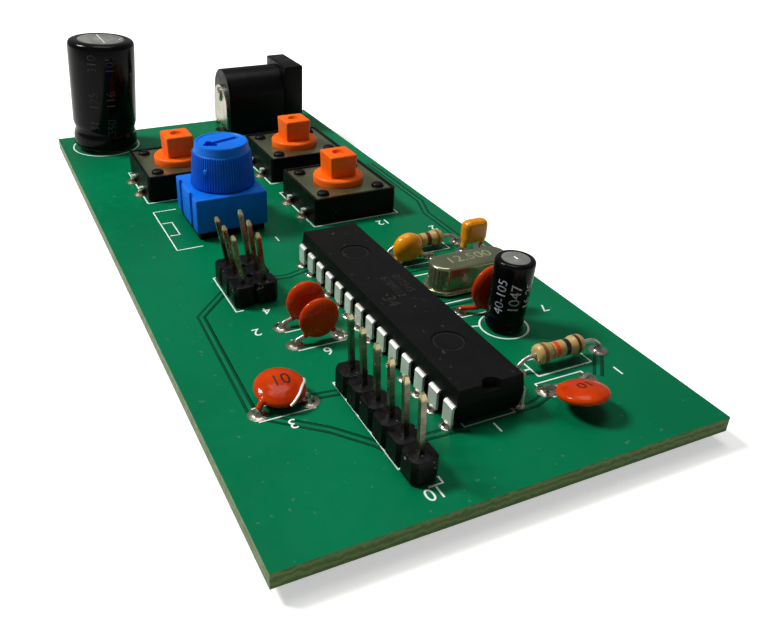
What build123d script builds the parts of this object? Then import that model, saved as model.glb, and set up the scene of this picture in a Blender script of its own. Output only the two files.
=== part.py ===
from build123d import *

import os
from math import copysign, cos, pi, sin

# LED controller board: a green circuit board with its through-hole components soldered in.
# Lengths are in millimetres. X runs across the board, Y along it towards the power inlet, and Z up.
# The origin is the centre of the board's outline, on the surface that the solder joints stand on.

# ---- Board -----------------------------------------------------------------------------------
BOARD_WIDTH = 45.0
BOARD_LENGTH = 100.0
BOARD_THICKNESS = 1.6
PITCH = 2.54                  # grid that most leads follow
HOLE_RADIUS = 0.55
LAND_RING = 0.3               # width of solder round a hole
JOINT_HEIGHT = 1.3            # solder joints below the board
JOINT_CHAMFER = 0.4
HOLE_SIDES = 6                # the many small holes, rivets and joints are drawn with flats
FIT = 0.02                    # gap all round a piece pressed or moulded into another
SLIDE = 0.08                  # gap all round a piece that slides or turns in another
TOP = JOINT_HEIGHT + BOARD_THICKNESS

# ---- Places of the components, from the board's front left corner ------------------------------
CHIP_AT = (24.2, 25.7)
OUTPUT_HEADER_AT = (14.85, 10.98)
PIN_BLOCK_AT = (12.1, 39.25)
TRIMMER_AT = (15.35, 58.1)
SWITCHES_AT = ((13.85, 73.9), (32.4, 74.2), (32.4, 58.0))
JACK_MOUTH_AT = (40.66, 94.75)
LARGE_CAPACITOR_AT = (6.9, 94.0)
SMALL_CAPACITOR_AT = (34.9, 21.2)
CRYSTAL_AT = (36.3, 30.7)
RESISTORS_AT = ((36.1, 13.45), (36.2, 40.6))

# ---- Controller chip ---------------------------------------------------------------------------
CHIP_WIDTH = 7.1
CHIP_LENGTH = 34.7
CHIP_TOP = 4.15
CHIP_STANDOFF = 0.55
CHIP_DRAFT = 6.0
CHIP_ROW_SPACING = 7.62
CHIP_LEADS_A_SIDE = 14
CHIP_LEAD_THICKNESS = 0.25
CHIP_LEAD_WIDTH = 0.46
CHIP_SHOULDER_WIDTH = 1.45
CHIP_SHOULDER_TOP = 2.6
CHIP_SHOULDER_BOTTOM = 0.45
CHIP_LEAD_BEND = 0.2
NOTCH_RADIUS = 1.0
NOTCH_DEPTH = 0.9
MARK_RADIUS = 1.75            # round marks left by the mould's ejector pins
MARK_DEPTH = 0.08
MARK_SPACING = 20.1

# ---- Pin headers -------------------------------------------------------------------------------
HEADER_HEIGHT = 2.54
HEADER_STANDOFF = 0.25        # the plastic hangs on its pins, just clear of the board
HEADER_CHAMFER = 0.45
PIN_SIZE = 0.5
PIN_TOP = 8.45
PIN_POINT = 0.45
PIN_POINT_SIZE = 0.3
# How far each pin's point is bent from upright: the single row from the front, the block by rows.
OUTPUT_PIN_LEANS = (
    (-0.25, 0.05), (-0.35, 0.0), (-0.25, 0.1), (-0.3, 0.0), (-0.35, 0.1), (-0.3, 0.1)
)
BLOCK_PIN_LEANS = (
    (-0.9, -0.15), (-1.0, 0.1), (-1.05, 0.0), (-0.75, -0.45), (-0.6, 0.4), (-0.55, 0.85)
)

# ---- Trimmer -----------------------------------------------------------------------------------
TRIMMER_SIZE = 9.53
TRIMMER_STANDOFF = 0.4
TRIMMER_TOP = 5.55
TRIMMER_FOOT = 1.3
TRIMMER_WELL_RADIUS = 3.7
ROTOR_OFFSET = 0.35            # the knob's axis is nearer the housing's right side
TRIMMER_FLOOR = 1.9           # floor of the well above the board
TRACK_THICKNESS = 0.6
WIPER_THICKNESS = 0.25
KNOB_GAP = 0.15
KNOB_TOP = 11.3
KNOB_COLLAR = 1.2
KNOB_BASE_RADIUS = 4.2
KNOB_NECK_RADIUS = 3.75
KNOB_TOP_RADIUS = 3.38
KNURLS = 30
KNURL_DEPTH = 0.14
SLOT_LENGTH = 5.2
SLOT_WIDTH = 0.9
SLOT_DEPTH = 0.8
SLOT_TURN = 17.7
ARROW_SIZE = 1.5
TRIMMER_PIN_SIZE = 0.5

# ---- Push-button switches ----------------------------------------------------------------------
SWITCH_SIZE = 12.0
SWITCH_HEIGHT = 3.5
SWITCH_RIM = 0.3
COVER_THICKNESS = 0.3
COVER_SIZE = 11.2
DOME_RADIUS = 3.6
DOME_THICKNESS = 0.12
DOME_RISE = 0.55
DOME_SLOPE = 60.0
SWITCH_FLOOR = 1.2
BUTTON_SIDES = 8              # flats on the button's flange and its well keep it from turning
BUTTON_FLANGE_RADIUS = 4.35
BUTTON_DISC_RADIUS = 3.48
BUTTON_DISC_TOP = 4.5
BUTTON_STEM = 4.0
BUTTON_STEM_TOP = 7.55
BUTTON_DIMPLE_RADIUS = 0.9
BUTTON_DIMPLE_DEPTH = 0.45
RIVET_SPACING = 8.2
RIVET_RADIUS = 0.45
RIVET_HEAD_RADIUS = 0.8
RIVET_HEAD_HEIGHT = 0.4
RIVET_TAPER = 40.0
SWITCH_LEAD_ROWS = 12.9
SWITCH_LEAD_SPACING = 5.0
SWITCH_LEAD_WIDTH = 0.7
SWITCH_LEAD_THICKNESS = 0.3
SWITCH_LEAD_TOP = 1.1
CORNER_CHAMFER = 0.3          # upright edges of the switches and the trimmer

# ---- Power inlet jack --------------------------------------------------------------------------
JACK_LENGTH = 13.2
JACK_WIDTH = 9.0
JACK_FLANGE_THICKNESS = 3.26
JACK_FLANGE_HEIGHT = 11.0
JACK_BARREL_RADIUS = 4.2
JACK_AXIS = 6.25
JACK_BORE_RADIUS = 3.2
JACK_BORE_DEPTH = 10.2
JACK_PIN_RADIUS = 1.0
JACK_PIN_SETBACK = 1.0
JACK_RIVET_RADIUS = 1.2
JACK_RIVET_HEIGHT = 0.5
JACK_HOLE_RADIUS = 1.4
CONTACT_THICKNESS = 0.4
CONTACT_WIDTH = 2.2
SIDE_TAIL_WIDTH = 0.9
REAR_PLATE_WIDTH = 6.8
REAR_PLATE_TOP = 7.85
SPRING_BEND = 9.0             # from the mouth to the spring contact's upright
SPRING_REACH = 4.6            # from the mouth to the spring contact's free end
SPRING_LEVEL = 0.9
SPRING_RISE = 0.45            # how far the spring contact stands up into the bore
SIDE_CONTACT_AT = 6.4         # from the mouth to the side contact's middle
SIDE_CONTACT_TOP = 6.0

# ---- Electrolytic capacitors -------------------------------------------------------------------
LARGE_RADIUS = 5.12
LARGE_HEIGHT = 16.7
LARGE_LEAD_SPACING = 5.0
LARGE_LEAN = (1.0, 3.5)       # degrees about X and Y
SMALL_RADIUS = 2.12
SMALL_HEIGHT = 7.95
SMALL_LEAD_SPACING = 2.0
SMALL_LEAN = (1.0, 2.0)
CAPACITOR_STANDOFF = 0.2
SLEEVE_THICKNESS = 0.25
# Shares of a can's radius
SHOULDER_SHARE = 0.17         # rounding of the top
LIP_SHARE = 0.12              # how far the sleeve is rolled over the ends
RIM_SHARE = 0.15              # wall of the can round its seal
GROOVE_SHARE = 0.04           # depth of the crimped groove round the seal
# Shares of a can's height
WAIST_SHARE = 0.16            # height of the crimped groove
SEAL_SHARE = 0.09

# ---- Crystal -----------------------------------------------------------------------------------
CRYSTAL_LENGTH = 9.95
CRYSTAL_WIDTH = 3.8
CRYSTAL_TOP = 3.55
CRYSTAL_FLANGE = 0.42
CRYSTAL_FLANGE_THICKNESS = 0.4
CRYSTAL_STANDOFF = 0.3
CRYSTAL_ROUNDING = 0.45
CRYSTAL_LEAD_SPACING = 4.88

# ---- Resistors ---------------------------------------------------------------------------------
RESISTOR_LENGTH = 5.65
RESISTOR_BULB_RADIUS = 1.03
RESISTOR_WAIST_RADIUS = 0.84
RESISTOR_BULB_LENGTH = 1.6
RESISTOR_ROUNDING = 0.35
RESISTOR_LEVELS = (1.6, 1.25)
RESISTOR_OFFSETS = (-0.27, -0.18)  # how far the bodies sit off the middle of their holes
RESISTOR_LEAD_SPACING = 10.16

# ---- Ceramic and bead capacitors ---------------------------------------------------------------
WIRE_RADIUS = 0.27
WIRE_SIDES = 6
WIRE_STUB = 0.6               # straight stretch of wire next to a capacitor's body
DISC_THICKNESS = 1.6
DISC_RIM = 0.5
DISC_SIDES = 20
DISC_LEAD_SPACING = 5.08
DISC_LEAD_ANGLE = 42.0        # from straight down, where a wire leaves the rim
# Each disc: the middle of its two holes, its centre from there, its radius, and its lean about X
# (minus is back)
DISCS = (
    ((7.99, 17.2), (0.35, 1.3, 1.3), 2.5, -80.0),
    ((15.39, 30.1), (0.3, 0.15, 2.6), 2.25, -6.0),
    ((15.39, 26.4), (0.15, 0.0, 2.7), 2.25, -3.0),
    ((34.34, 9.9), (-1.32, -3.45, 1.9), 2.45, 77.0),
    ((34.45, 25.5), (1.05, -1.0, 2.9), 2.75, -3.0),
)
BEAD_WIDTH = 4.2
BEAD_THICKNESS = 2.6
BEAD_HEIGHT = 3.7
BEAD_BOTTOM = 0.15
BEAD_SIDES = 12
# Share of the height, and fullness there, from the bottom to the top
BEAD_SECTIONS = ((0.0, 0.45), (0.15, 0.8), (0.45, 1.0), (0.75, 0.85), (1.0, 0.35))
BEAD_LEAD_SPACING = 5.08
BEAD_LEAD_LEVEL = 0.7
BEAD_LEAD_REACH = 1.7        # from the body's middle to where the far wire enters it
BEAD_AT = (33.45, 38.1)
BEAD_OFFSET = -0.85           # the body sits off the middle of its holes
BLOCK_BEAD_WIDTH = 3.5
BLOCK_BEAD_THICKNESS = 2.0
BLOCK_BEAD_BOTTOM = 1.2
BLOCK_BEAD_TOP = 4.15
BLOCK_BEAD_LEG = 0.9          # dipped legs below the body
BLOCK_BEAD_AT = (42.0, 38.1)
BLOCK_BEAD_LEAD_SPACING = 2.7

lead_holes = []               # every drilled hole: x and y from the front left corner, and radius


def on_board(x, y):
    """Where a component stands: on the board's top face, x and y from the front left corner."""
    return Plane((x - BOARD_WIDTH / 2, y - BOARD_LENGTH / 2, TOP))


def drill(spot, x_offsets, y_offsets=(0,), radius=HOLE_RADIUS):
    """Note the holes of a component that stands at spot, and return them relative to it."""
    holes = [(dx, dy) for dx in x_offsets for dy in y_offsets]
    lead_holes.extend((spot[0] + dx, spot[1] + dy, radius) for dx, dy in holes)
    return holes


def evenly(count, pitch):
    """Offsets of a row of count places about its middle."""
    return [pitch * (i - (count - 1) / 2) for i in range(count)]


def save(name, builder):
    """Write one sub-part as a labelled STEP file."""
    builder.part.label = name
    export_step(builder.part, f"parts/{name}.step")


os.makedirs("parts", exist_ok=True)

# ================================================================================================
# Controller chip: a moulded body with drafted sides, and bent leads that meet it at the parting line
# ================================================================================================
chip = on_board(*CHIP_AT)
chip_lead_bottom = CHIP_SHOULDER_TOP - CHIP_LEAD_THICKNESS

with BuildPart() as chip_body:
    with BuildSketch(chip * Plane.XY.offset(chip_lead_bottom)) as chip_outline:
        Rectangle(CHIP_WIDTH, CHIP_LENGTH)
    extrude(amount=CHIP_LEAD_THICKNESS)
    with BuildSketch(chip * Plane.XY.offset(CHIP_SHOULDER_TOP)):
        Rectangle(CHIP_WIDTH, CHIP_LENGTH)
    extrude(amount=CHIP_TOP - CHIP_SHOULDER_TOP, taper=CHIP_DRAFT)
    extrude(chip_outline.sketch, amount=CHIP_STANDOFF - chip_lead_bottom, taper=CHIP_DRAFT)
    with BuildSketch(chip * Plane.XY.offset(CHIP_TOP)):
        with Locations((0, -CHIP_LENGTH / 2)):
            Circle(NOTCH_RADIUS)
    extrude(amount=-NOTCH_DEPTH, mode=Mode.SUBTRACT)
    with BuildSketch(chip * Plane.XY.offset(CHIP_TOP)):
        with GridLocations(0, MARK_SPACING, 1, 2):
            Circle(MARK_RADIUS)
    extrude(amount=-MARK_DEPTH, mode=Mode.SUBTRACT)
save("chip_body", chip_body)

chip_rows = [-CHIP_ROW_SPACING / 2, CHIP_ROW_SPACING / 2]
chip_lead_places = evenly(CHIP_LEADS_A_SIDE, PITCH)
drill(CHIP_AT, chip_rows, chip_lead_places)
lead_outside = CHIP_ROW_SPACING / 2 + CHIP_LEAD_THICKNESS / 2
lead_inside = lead_outside - CHIP_LEAD_THICKNESS
with BuildPart() as chip_leads:
    for y in chip_lead_places:
        for side in (-1, 1):
            with BuildSketch(chip * Plane.XZ.offset(-y)):
                with BuildLine():
                    Polyline(
                        (side * CHIP_WIDTH / 2, chip_lead_bottom),
                        (side * CHIP_WIDTH / 2, CHIP_SHOULDER_TOP),
                        (side * (lead_outside - CHIP_LEAD_BEND), CHIP_SHOULDER_TOP),
                        (side * lead_outside, CHIP_SHOULDER_TOP - CHIP_LEAD_BEND),
                        (side * lead_outside, CHIP_SHOULDER_BOTTOM),
                        (side * lead_inside, CHIP_SHOULDER_BOTTOM),
                        (side * lead_inside, chip_lead_bottom),
                        close=True,
                    )
                make_face()
            extrude(amount=CHIP_SHOULDER_WIDTH / 2, both=True)
    with BuildSketch(chip * Plane.XY.offset(CHIP_SHOULDER_BOTTOM)):
        with GridLocations(CHIP_ROW_SPACING, PITCH, 2, CHIP_LEADS_A_SIDE):
            Rectangle(CHIP_LEAD_THICKNESS, CHIP_LEAD_WIDTH)
    extrude(amount=-CHIP_SHOULDER_BOTTOM - BOARD_THICKNESS)
save("chip_leads", chip_leads)


# ================================================================================================
# Pin headers: a row of chamfered plastic units moulded in one, with a square pin pressed into each
# ================================================================================================
def build_header(name, spot, columns, rows, leans):
    place = on_board(*spot)
    pins = drill(spot, evenly(columns, PITCH), evenly(rows, PITCH))
    with BuildPart() as base:
        with BuildSketch(mode=Mode.PRIVATE) as unit:
            outline = Rectangle(columns * PITCH, PITCH)
            chamfer(outline.vertices(), HEADER_CHAMFER)
        with BuildSketch(place * Plane.XY.offset(HEADER_STANDOFF)):
            with GridLocations(0, PITCH, 1, rows):
                add(unit.sketch)
            with GridLocations(PITCH, PITCH, columns, rows):
                Rectangle(PIN_SIZE + 2 * FIT, PIN_SIZE + 2 * FIT, mode=Mode.SUBTRACT)
        extrude(amount=HEADER_HEIGHT - HEADER_STANDOFF)
    save(f"{name}_base", base)

    with BuildPart() as contacts:
        for (x, y), (lean_x, lean_y) in zip(pins, leans):
            with BuildSketch(place * Plane.XY.offset(-BOARD_THICKNESS)):
                with Locations((x, y)):
                    Rectangle(PIN_SIZE, PIN_SIZE)
            extrude(amount=BOARD_THICKNESS + HEADER_HEIGHT)
            sections = (
                (HEADER_HEIGHT, PIN_SIZE, 0),
                (PIN_TOP - PIN_POINT, PIN_SIZE, 1 - PIN_POINT / (PIN_TOP - HEADER_HEIGHT)),
                (PIN_TOP, PIN_POINT_SIZE, 1),
            )
            for height, size, share in sections:
                with BuildSketch(place * Plane.XY.offset(height)):
                    with Locations((x + lean_x * share, y + lean_y * share)):
                        Rectangle(size, size)
            loft(ruled=True)
    save(f"{name}_pins", contacts)


build_header("output_header", OUTPUT_HEADER_AT, 1, 6, OUTPUT_PIN_LEANS)
build_header("pin_block", PIN_BLOCK_AT, 2, 3, BLOCK_PIN_LEANS)

# ================================================================================================
# Trimmer: a square housing on small feet, a resistive track on its floor, and a knurled knob
# ================================================================================================
trimmer = on_board(*TRIMMER_AT)
rotor = on_board(TRIMMER_AT[0] + ROTOR_OFFSET, TRIMMER_AT[1])
well_radius = TRIMMER_WELL_RADIUS
trimmer_pins = drill(TRIMMER_AT, (0,), (-PITCH, PITCH)) + drill(TRIMMER_AT, (-PITCH,), (0,))

with BuildPart() as trimmer_body:
    with BuildSketch(trimmer * Plane.XY.offset(TRIMMER_STANDOFF)):
        outline = Rectangle(TRIMMER_SIZE, TRIMMER_SIZE)
        chamfer(outline.vertices(), CORNER_CHAMFER)
        for y in (-TRIMMER_SIZE / 4, TRIMMER_SIZE / 4):
            with Locations((-TRIMMER_SIZE / 2, y)):
                Rectangle(0.6, 1.2, mode=Mode.SUBTRACT)
    extrude(amount=TRIMMER_TOP - TRIMMER_STANDOFF)
    chamfer(trimmer_body.faces().sort_by(Axis.Z)[-1].edges(), 0.15)
    with BuildSketch(trimmer * Plane.XY):
        foot_spacing = TRIMMER_SIZE - TRIMMER_FOOT - 0.8
        with GridLocations(foot_spacing, foot_spacing, 2, 2):
            Rectangle(TRIMMER_FOOT, TRIMMER_FOOT)
    extrude(amount=TRIMMER_STANDOFF)
    with BuildSketch(rotor * Plane.XY.offset(TRIMMER_TOP)):
        Circle(well_radius)
    extrude(amount=TRIMMER_FLOOR - TRIMMER_TOP, mode=Mode.SUBTRACT)
    with BuildSketch(trimmer * Plane.XY):
        with Locations(*trimmer_pins):
            Rectangle(TRIMMER_PIN_SIZE + 2 * FIT, TRIMMER_PIN_SIZE + 2 * FIT)
    extrude(amount=TRIMMER_TOP, mode=Mode.SUBTRACT)
save("trimmer_body", trimmer_body)

with BuildPart() as trimmer_track:
    with BuildSketch(rotor * Plane.XY.offset(TRIMMER_FLOOR)):
        Circle(well_radius - FIT)
    extrude(amount=TRACK_THICKNESS)
save("trimmer_track", trimmer_track)

with BuildPart() as trimmer_pins_part:
    with BuildSketch(trimmer * Plane.XY.offset(-BOARD_THICKNESS)):
        with Locations(*trimmer_pins):
            Rectangle(TRIMMER_PIN_SIZE, TRIMMER_PIN_SIZE)
    extrude(amount=BOARD_THICKNESS + TRIMMER_FLOOR)
save("trimmer_pins", trimmer_pins_part)

wiper_bottom = TRIMMER_FLOOR + TRACK_THICKNESS + FIT
wiper_top = wiper_bottom + WIPER_THICKNESS
with BuildPart() as trimmer_wiper:
    with BuildSketch(rotor * Plane.XY.offset(wiper_bottom)):
        Rectangle(2 * well_radius - 1.2, 1.4)
        Circle(1.3)
    extrude(amount=WIPER_THICKNESS)
save("trimmer_wiper", trimmer_wiper)


def knurl_outline(radius):
    """Points of a knurled round: ridges and grooves in turn."""
    radii = [radius, radius - KNURL_DEPTH] * KNURLS
    return [(r * cos(pi * i / KNURLS), r * sin(pi * i / KNURLS)) for i, r in enumerate(radii)]


knob_bottom = TRIMMER_TOP + KNOB_GAP
collar_bottom = KNOB_TOP - KNOB_COLLAR
with BuildPart() as trimmer_knob:
    for height, radius in ((knob_bottom, KNOB_BASE_RADIUS), (collar_bottom, KNOB_NECK_RADIUS)):
        with BuildSketch(rotor * Plane.XY.offset(height)):
            Polygon(*knurl_outline(radius), align=None)
    loft(ruled=True)
    for height, radius in ((collar_bottom, KNOB_NECK_RADIUS - KNURL_DEPTH), (KNOB_TOP, KNOB_TOP_RADIUS)):
        with BuildSketch(rotor * Plane.XY.offset(height)):
            Circle(radius)
    loft(ruled=True)
    with BuildSketch(rotor * Plane.XY.offset(wiper_top)):
        Circle(well_radius - SLIDE)
    extrude(amount=knob_bottom - wiper_top)
    with BuildSketch(rotor * Location((0, 0, KNOB_TOP), (0, 0, SLOT_TURN))):
        Rectangle(SLOT_LENGTH, SLOT_WIDTH)
        with Locations((-SLOT_LENGTH / 2 + ARROW_SIZE / 2, 0)):
            Triangle(a=ARROW_SIZE, b=ARROW_SIZE, c=ARROW_SIZE, rotation=90)
    extrude(amount=-SLOT_DEPTH, mode=Mode.SUBTRACT)
save("trimmer_knob", trimmer_knob)


# ================================================================================================
# Push-button switches: base with moulded-in leads, snap dome, sprung button and riveted cover
# ================================================================================================
def build_switch(name, spot):
    place = on_board(*spot)
    leads = drill(spot, evenly(2, SWITCH_LEAD_ROWS), evenly(2, SWITCH_LEAD_SPACING))
    cover_bottom = SWITCH_HEIGHT - COVER_THICKNESS
    flange_top = cover_bottom - FIT
    flange_bottom = SWITCH_FLOOR + DOME_RISE + DOME_THICKNESS + FIT
    with BuildPart() as base:
        with BuildSketch(place * Plane.XY):
            outline = Rectangle(SWITCH_SIZE, SWITCH_SIZE)
            chamfer(outline.vertices(), CORNER_CHAMFER)
        extrude(amount=SWITCH_HEIGHT + SWITCH_RIM / 2)
        with BuildSketch(place * Plane.XY.offset(cover_bottom)):
            Rectangle(COVER_SIZE + 2 * FIT, COVER_SIZE + 2 * FIT)
        extrude(amount=SWITCH_RIM + COVER_THICKNESS, mode=Mode.SUBTRACT)
        with BuildSketch(place * Plane.XY.offset(SWITCH_FLOOR)):
            RegularPolygon(BUTTON_FLANGE_RADIUS + SLIDE, BUTTON_SIDES)
        extrude(amount=SWITCH_HEIGHT, mode=Mode.SUBTRACT)
        with BuildSketch(place * Plane.XY.offset(cover_bottom)):
            with GridLocations(RIVET_SPACING, RIVET_SPACING, 2, 2):
                RegularPolygon(RIVET_RADIUS, HOLE_SIDES)
        extrude(amount=COVER_THICKNESS)
        with BuildSketch(place * Plane.XY.offset(SWITCH_HEIGHT)):
            with GridLocations(RIVET_SPACING, RIVET_SPACING, 2, 2):
                RegularPolygon(RIVET_HEAD_RADIUS, HOLE_SIDES)
        extrude(amount=RIVET_HEAD_HEIGHT, taper=RIVET_TAPER)
    save(f"{name}_base", base)

    with BuildPart() as cover:
        with BuildSketch(place * Plane.XY.offset(cover_bottom)):
            Rectangle(COVER_SIZE, COVER_SIZE)
            Circle(BUTTON_DISC_RADIUS + SLIDE, mode=Mode.SUBTRACT)
            with GridLocations(RIVET_SPACING, RIVET_SPACING, 2, 2):
                RegularPolygon(RIVET_RADIUS + FIT, HOLE_SIDES, mode=Mode.SUBTRACT)
        extrude(amount=COVER_THICKNESS)
    save(f"{name}_cover", cover)

    with BuildPart() as button:
        with BuildSketch(place * Plane.XY.offset(flange_bottom)):
            RegularPolygon(BUTTON_FLANGE_RADIUS, BUTTON_SIDES)
        extrude(amount=flange_top - flange_bottom)
        with BuildSketch(place * Plane.XY.offset(flange_top)):
            Circle(BUTTON_DISC_RADIUS)
        extrude(amount=BUTTON_DISC_TOP - flange_top)
        with BuildSketch(place * Plane.XY.offset(BUTTON_DISC_TOP)):
            Rectangle(BUTTON_STEM, BUTTON_STEM)
        extrude(amount=BUTTON_STEM_TOP - BUTTON_DISC_TOP)
        chamfer(button.faces().sort_by(Axis.Z)[-1].edges(), 0.25)
        with BuildSketch(place * Plane.XY.offset(BUTTON_STEM_TOP)):
            RegularPolygon(BUTTON_DIMPLE_RADIUS, HOLE_SIDES)
        extrude(amount=-BUTTON_DIMPLE_DEPTH, mode=Mode.SUBTRACT)
    save(f"{name}_button", button)

    with BuildPart() as dome:
        with BuildSketch(place * Plane.XY.offset(SWITCH_FLOOR)):
            RegularPolygon(DOME_RADIUS, BUTTON_SIDES)
        extrude(amount=DOME_RISE + DOME_THICKNESS, taper=DOME_SLOPE)
        with BuildSketch(place * Plane.XY.offset(SWITCH_FLOOR)):
            RegularPolygon(DOME_RADIUS - 2 * DOME_THICKNESS, BUTTON_SIDES)
        extrude(amount=DOME_RISE, taper=DOME_SLOPE, mode=Mode.SUBTRACT)
    save(f"{name}_dome", dome)

    with BuildPart() as terminals:
        for x, y in leads:
            side = 1 if x > 0 else -1
            with BuildSketch(place * Plane.XZ.offset(-y)):
                with BuildLine():
                    Polyline(
                        (side * SWITCH_SIZE / 2, SWITCH_LEAD_TOP),
                        (x + side * SWITCH_LEAD_THICKNESS / 2, SWITCH_LEAD_TOP),
                        (x + side * SWITCH_LEAD_THICKNESS / 2, -BOARD_THICKNESS),
                        (x - side * SWITCH_LEAD_THICKNESS / 2, -BOARD_THICKNESS),
                        (x - side * SWITCH_LEAD_THICKNESS / 2, SWITCH_LEAD_TOP - SWITCH_LEAD_THICKNESS),
                        (side * SWITCH_SIZE / 2, SWITCH_LEAD_TOP - SWITCH_LEAD_THICKNESS),
                        close=True,
                    )
                make_face()
            extrude(amount=SWITCH_LEAD_WIDTH / 2, both=True)
    save(f"{name}_terminals", terminals)


for number, spot in enumerate(SWITCHES_AT, 1):
    build_switch(f"switch_{number}", spot)

# ================================================================================================
# Power inlet jack: a moulded housing with a bored barrel, its centre pin and three contacts
# ================================================================================================
jack = on_board(*JACK_MOUTH_AT)
drill(JACK_MOUTH_AT, (-JACK_LENGTH - CONTACT_THICKNESS / 2, -SPRING_BEND), radius=JACK_HOLE_RADIUS)
drill(JACK_MOUTH_AT, (-SIDE_CONTACT_AT,), (JACK_BARREL_RADIUS - CONTACT_THICKNESS / 2,))

with BuildPart() as jack_housing:
    with BuildSketch(jack * Plane.YZ):
        with Locations((0, JACK_FLANGE_HEIGHT / 2)):
            Rectangle(JACK_WIDTH, JACK_FLANGE_HEIGHT)
    extrude(amount=-JACK_FLANGE_THICKNESS)
    with BuildSketch(jack * Plane.YZ.offset(-JACK_FLANGE_THICKNESS)):
        with Locations((0, JACK_AXIS)):
            Circle(JACK_BARREL_RADIUS)
        with Locations((0, JACK_AXIS / 2)):
            Rectangle(2 * JACK_BARREL_RADIUS, JACK_AXIS)
    extrude(amount=JACK_FLANGE_THICKNESS - JACK_LENGTH)
    with BuildSketch(jack * Plane.YZ):
        with Locations((0, JACK_AXIS)):
            Circle(JACK_BORE_RADIUS)
    extrude(amount=-JACK_BORE_DEPTH, mode=Mode.SUBTRACT)
    with BuildSketch(jack * Plane.YZ):
        with Locations((0, JACK_AXIS)):
            Circle(JACK_PIN_RADIUS + FIT)
    extrude(amount=-JACK_LENGTH, mode=Mode.SUBTRACT)
    with BuildSketch(jack * Plane.XY):
        with Locations((-(SPRING_BEND + SPRING_REACH) / 2, 0)):
            Rectangle(SPRING_BEND - SPRING_REACH + 1, CONTACT_WIDTH + 2 * SLIDE)
    extrude(amount=JACK_AXIS, mode=Mode.SUBTRACT)
    with BuildSketch(jack * Plane.XZ.offset(CONTACT_THICKNESS + FIT - JACK_BARREL_RADIUS)):
        with Locations((-SIDE_CONTACT_AT, SIDE_CONTACT_TOP / 2)):
            Rectangle(CONTACT_WIDTH + 2 * FIT, SIDE_CONTACT_TOP + 2 * FIT)
    extrude(amount=-CONTACT_THICKNESS - FIT, mode=Mode.SUBTRACT)
save("jack_housing", jack_housing)

rear_face = -JACK_LENGTH
plate_face = rear_face - CONTACT_THICKNESS
plate_shoulder = REAR_PLATE_TOP - REAR_PLATE_WIDTH / 2
with BuildPart() as jack_centre_pin:
    with BuildSketch(jack * Plane.YZ.offset(-JACK_PIN_SETBACK)):
        with Locations((0, JACK_AXIS)):
            Circle(JACK_PIN_RADIUS)
    extrude(amount=plate_face + JACK_PIN_SETBACK)
    chamfer(jack_centre_pin.faces().sort_by(Axis.X)[-1].edges(), JACK_PIN_RADIUS / 3)
    with BuildSketch(jack * Plane.YZ.offset(plate_face)):
        with Locations((0, JACK_AXIS)):
            Circle(JACK_RIVET_RADIUS)
    extrude(amount=-JACK_RIVET_HEIGHT)
save("jack_centre_pin", jack_centre_pin)

with BuildPart() as jack_rear_plate:
    with BuildSketch(jack * Plane.YZ.offset(rear_face)):
        with Locations((0, (plate_shoulder + SPRING_LEVEL) / 2)):
            Rectangle(REAR_PLATE_WIDTH, plate_shoulder - SPRING_LEVEL)
        with Locations((0, plate_shoulder)):
            Circle(REAR_PLATE_WIDTH / 2)
        with Locations((0, (SPRING_LEVEL - BOARD_THICKNESS + 1) / 2)):
            Rectangle(CONTACT_WIDTH, SPRING_LEVEL + BOARD_THICKNESS + 1)
        with Locations((0, JACK_AXIS)):
            Circle(JACK_PIN_RADIUS + FIT, mode=Mode.SUBTRACT)
    extrude(amount=-CONTACT_THICKNESS)
save("jack_rear_plate", jack_rear_plate)

spring_contact_top = JACK_AXIS - JACK_BORE_RADIUS + SPRING_RISE
with BuildPart() as jack_spring_contact:
    with BuildSketch(jack * Plane.XZ):
        with BuildLine():
            Polyline(
                (-SPRING_BEND - CONTACT_THICKNESS / 2, -BOARD_THICKNESS),
                (-SPRING_BEND - CONTACT_THICKNESS / 2, SPRING_LEVEL + CONTACT_THICKNESS),
                (-SPRING_REACH - 1.4, spring_contact_top),
                (-SPRING_REACH, spring_contact_top - SPRING_RISE),
                (-SPRING_REACH, spring_contact_top - SPRING_RISE - CONTACT_THICKNESS),
                (-SPRING_REACH - 1.4, spring_contact_top - CONTACT_THICKNESS),
                (-SPRING_BEND + CONTACT_THICKNESS / 2, SPRING_LEVEL),
                (-SPRING_BEND + CONTACT_THICKNESS / 2, -BOARD_THICKNESS),
                close=True,
            )
        make_face()
    extrude(amount=CONTACT_WIDTH / 2, both=True)
save("jack_spring_contact", jack_spring_contact)

with BuildPart() as jack_side_contact:
    with BuildSketch(jack * Plane.XZ.offset(CONTACT_THICKNESS - JACK_BARREL_RADIUS)):
        with Locations((-SIDE_CONTACT_AT, SIDE_CONTACT_TOP / 2)):
            Rectangle(CONTACT_WIDTH, SIDE_CONTACT_TOP)
        with Locations((-SIDE_CONTACT_AT, -BOARD_THICKNESS / 2)):
            Rectangle(SIDE_TAIL_WIDTH, BOARD_THICKNESS)
    extrude(amount=-CONTACT_THICKNESS)
save("jack_side_contact", jack_side_contact)


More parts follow.
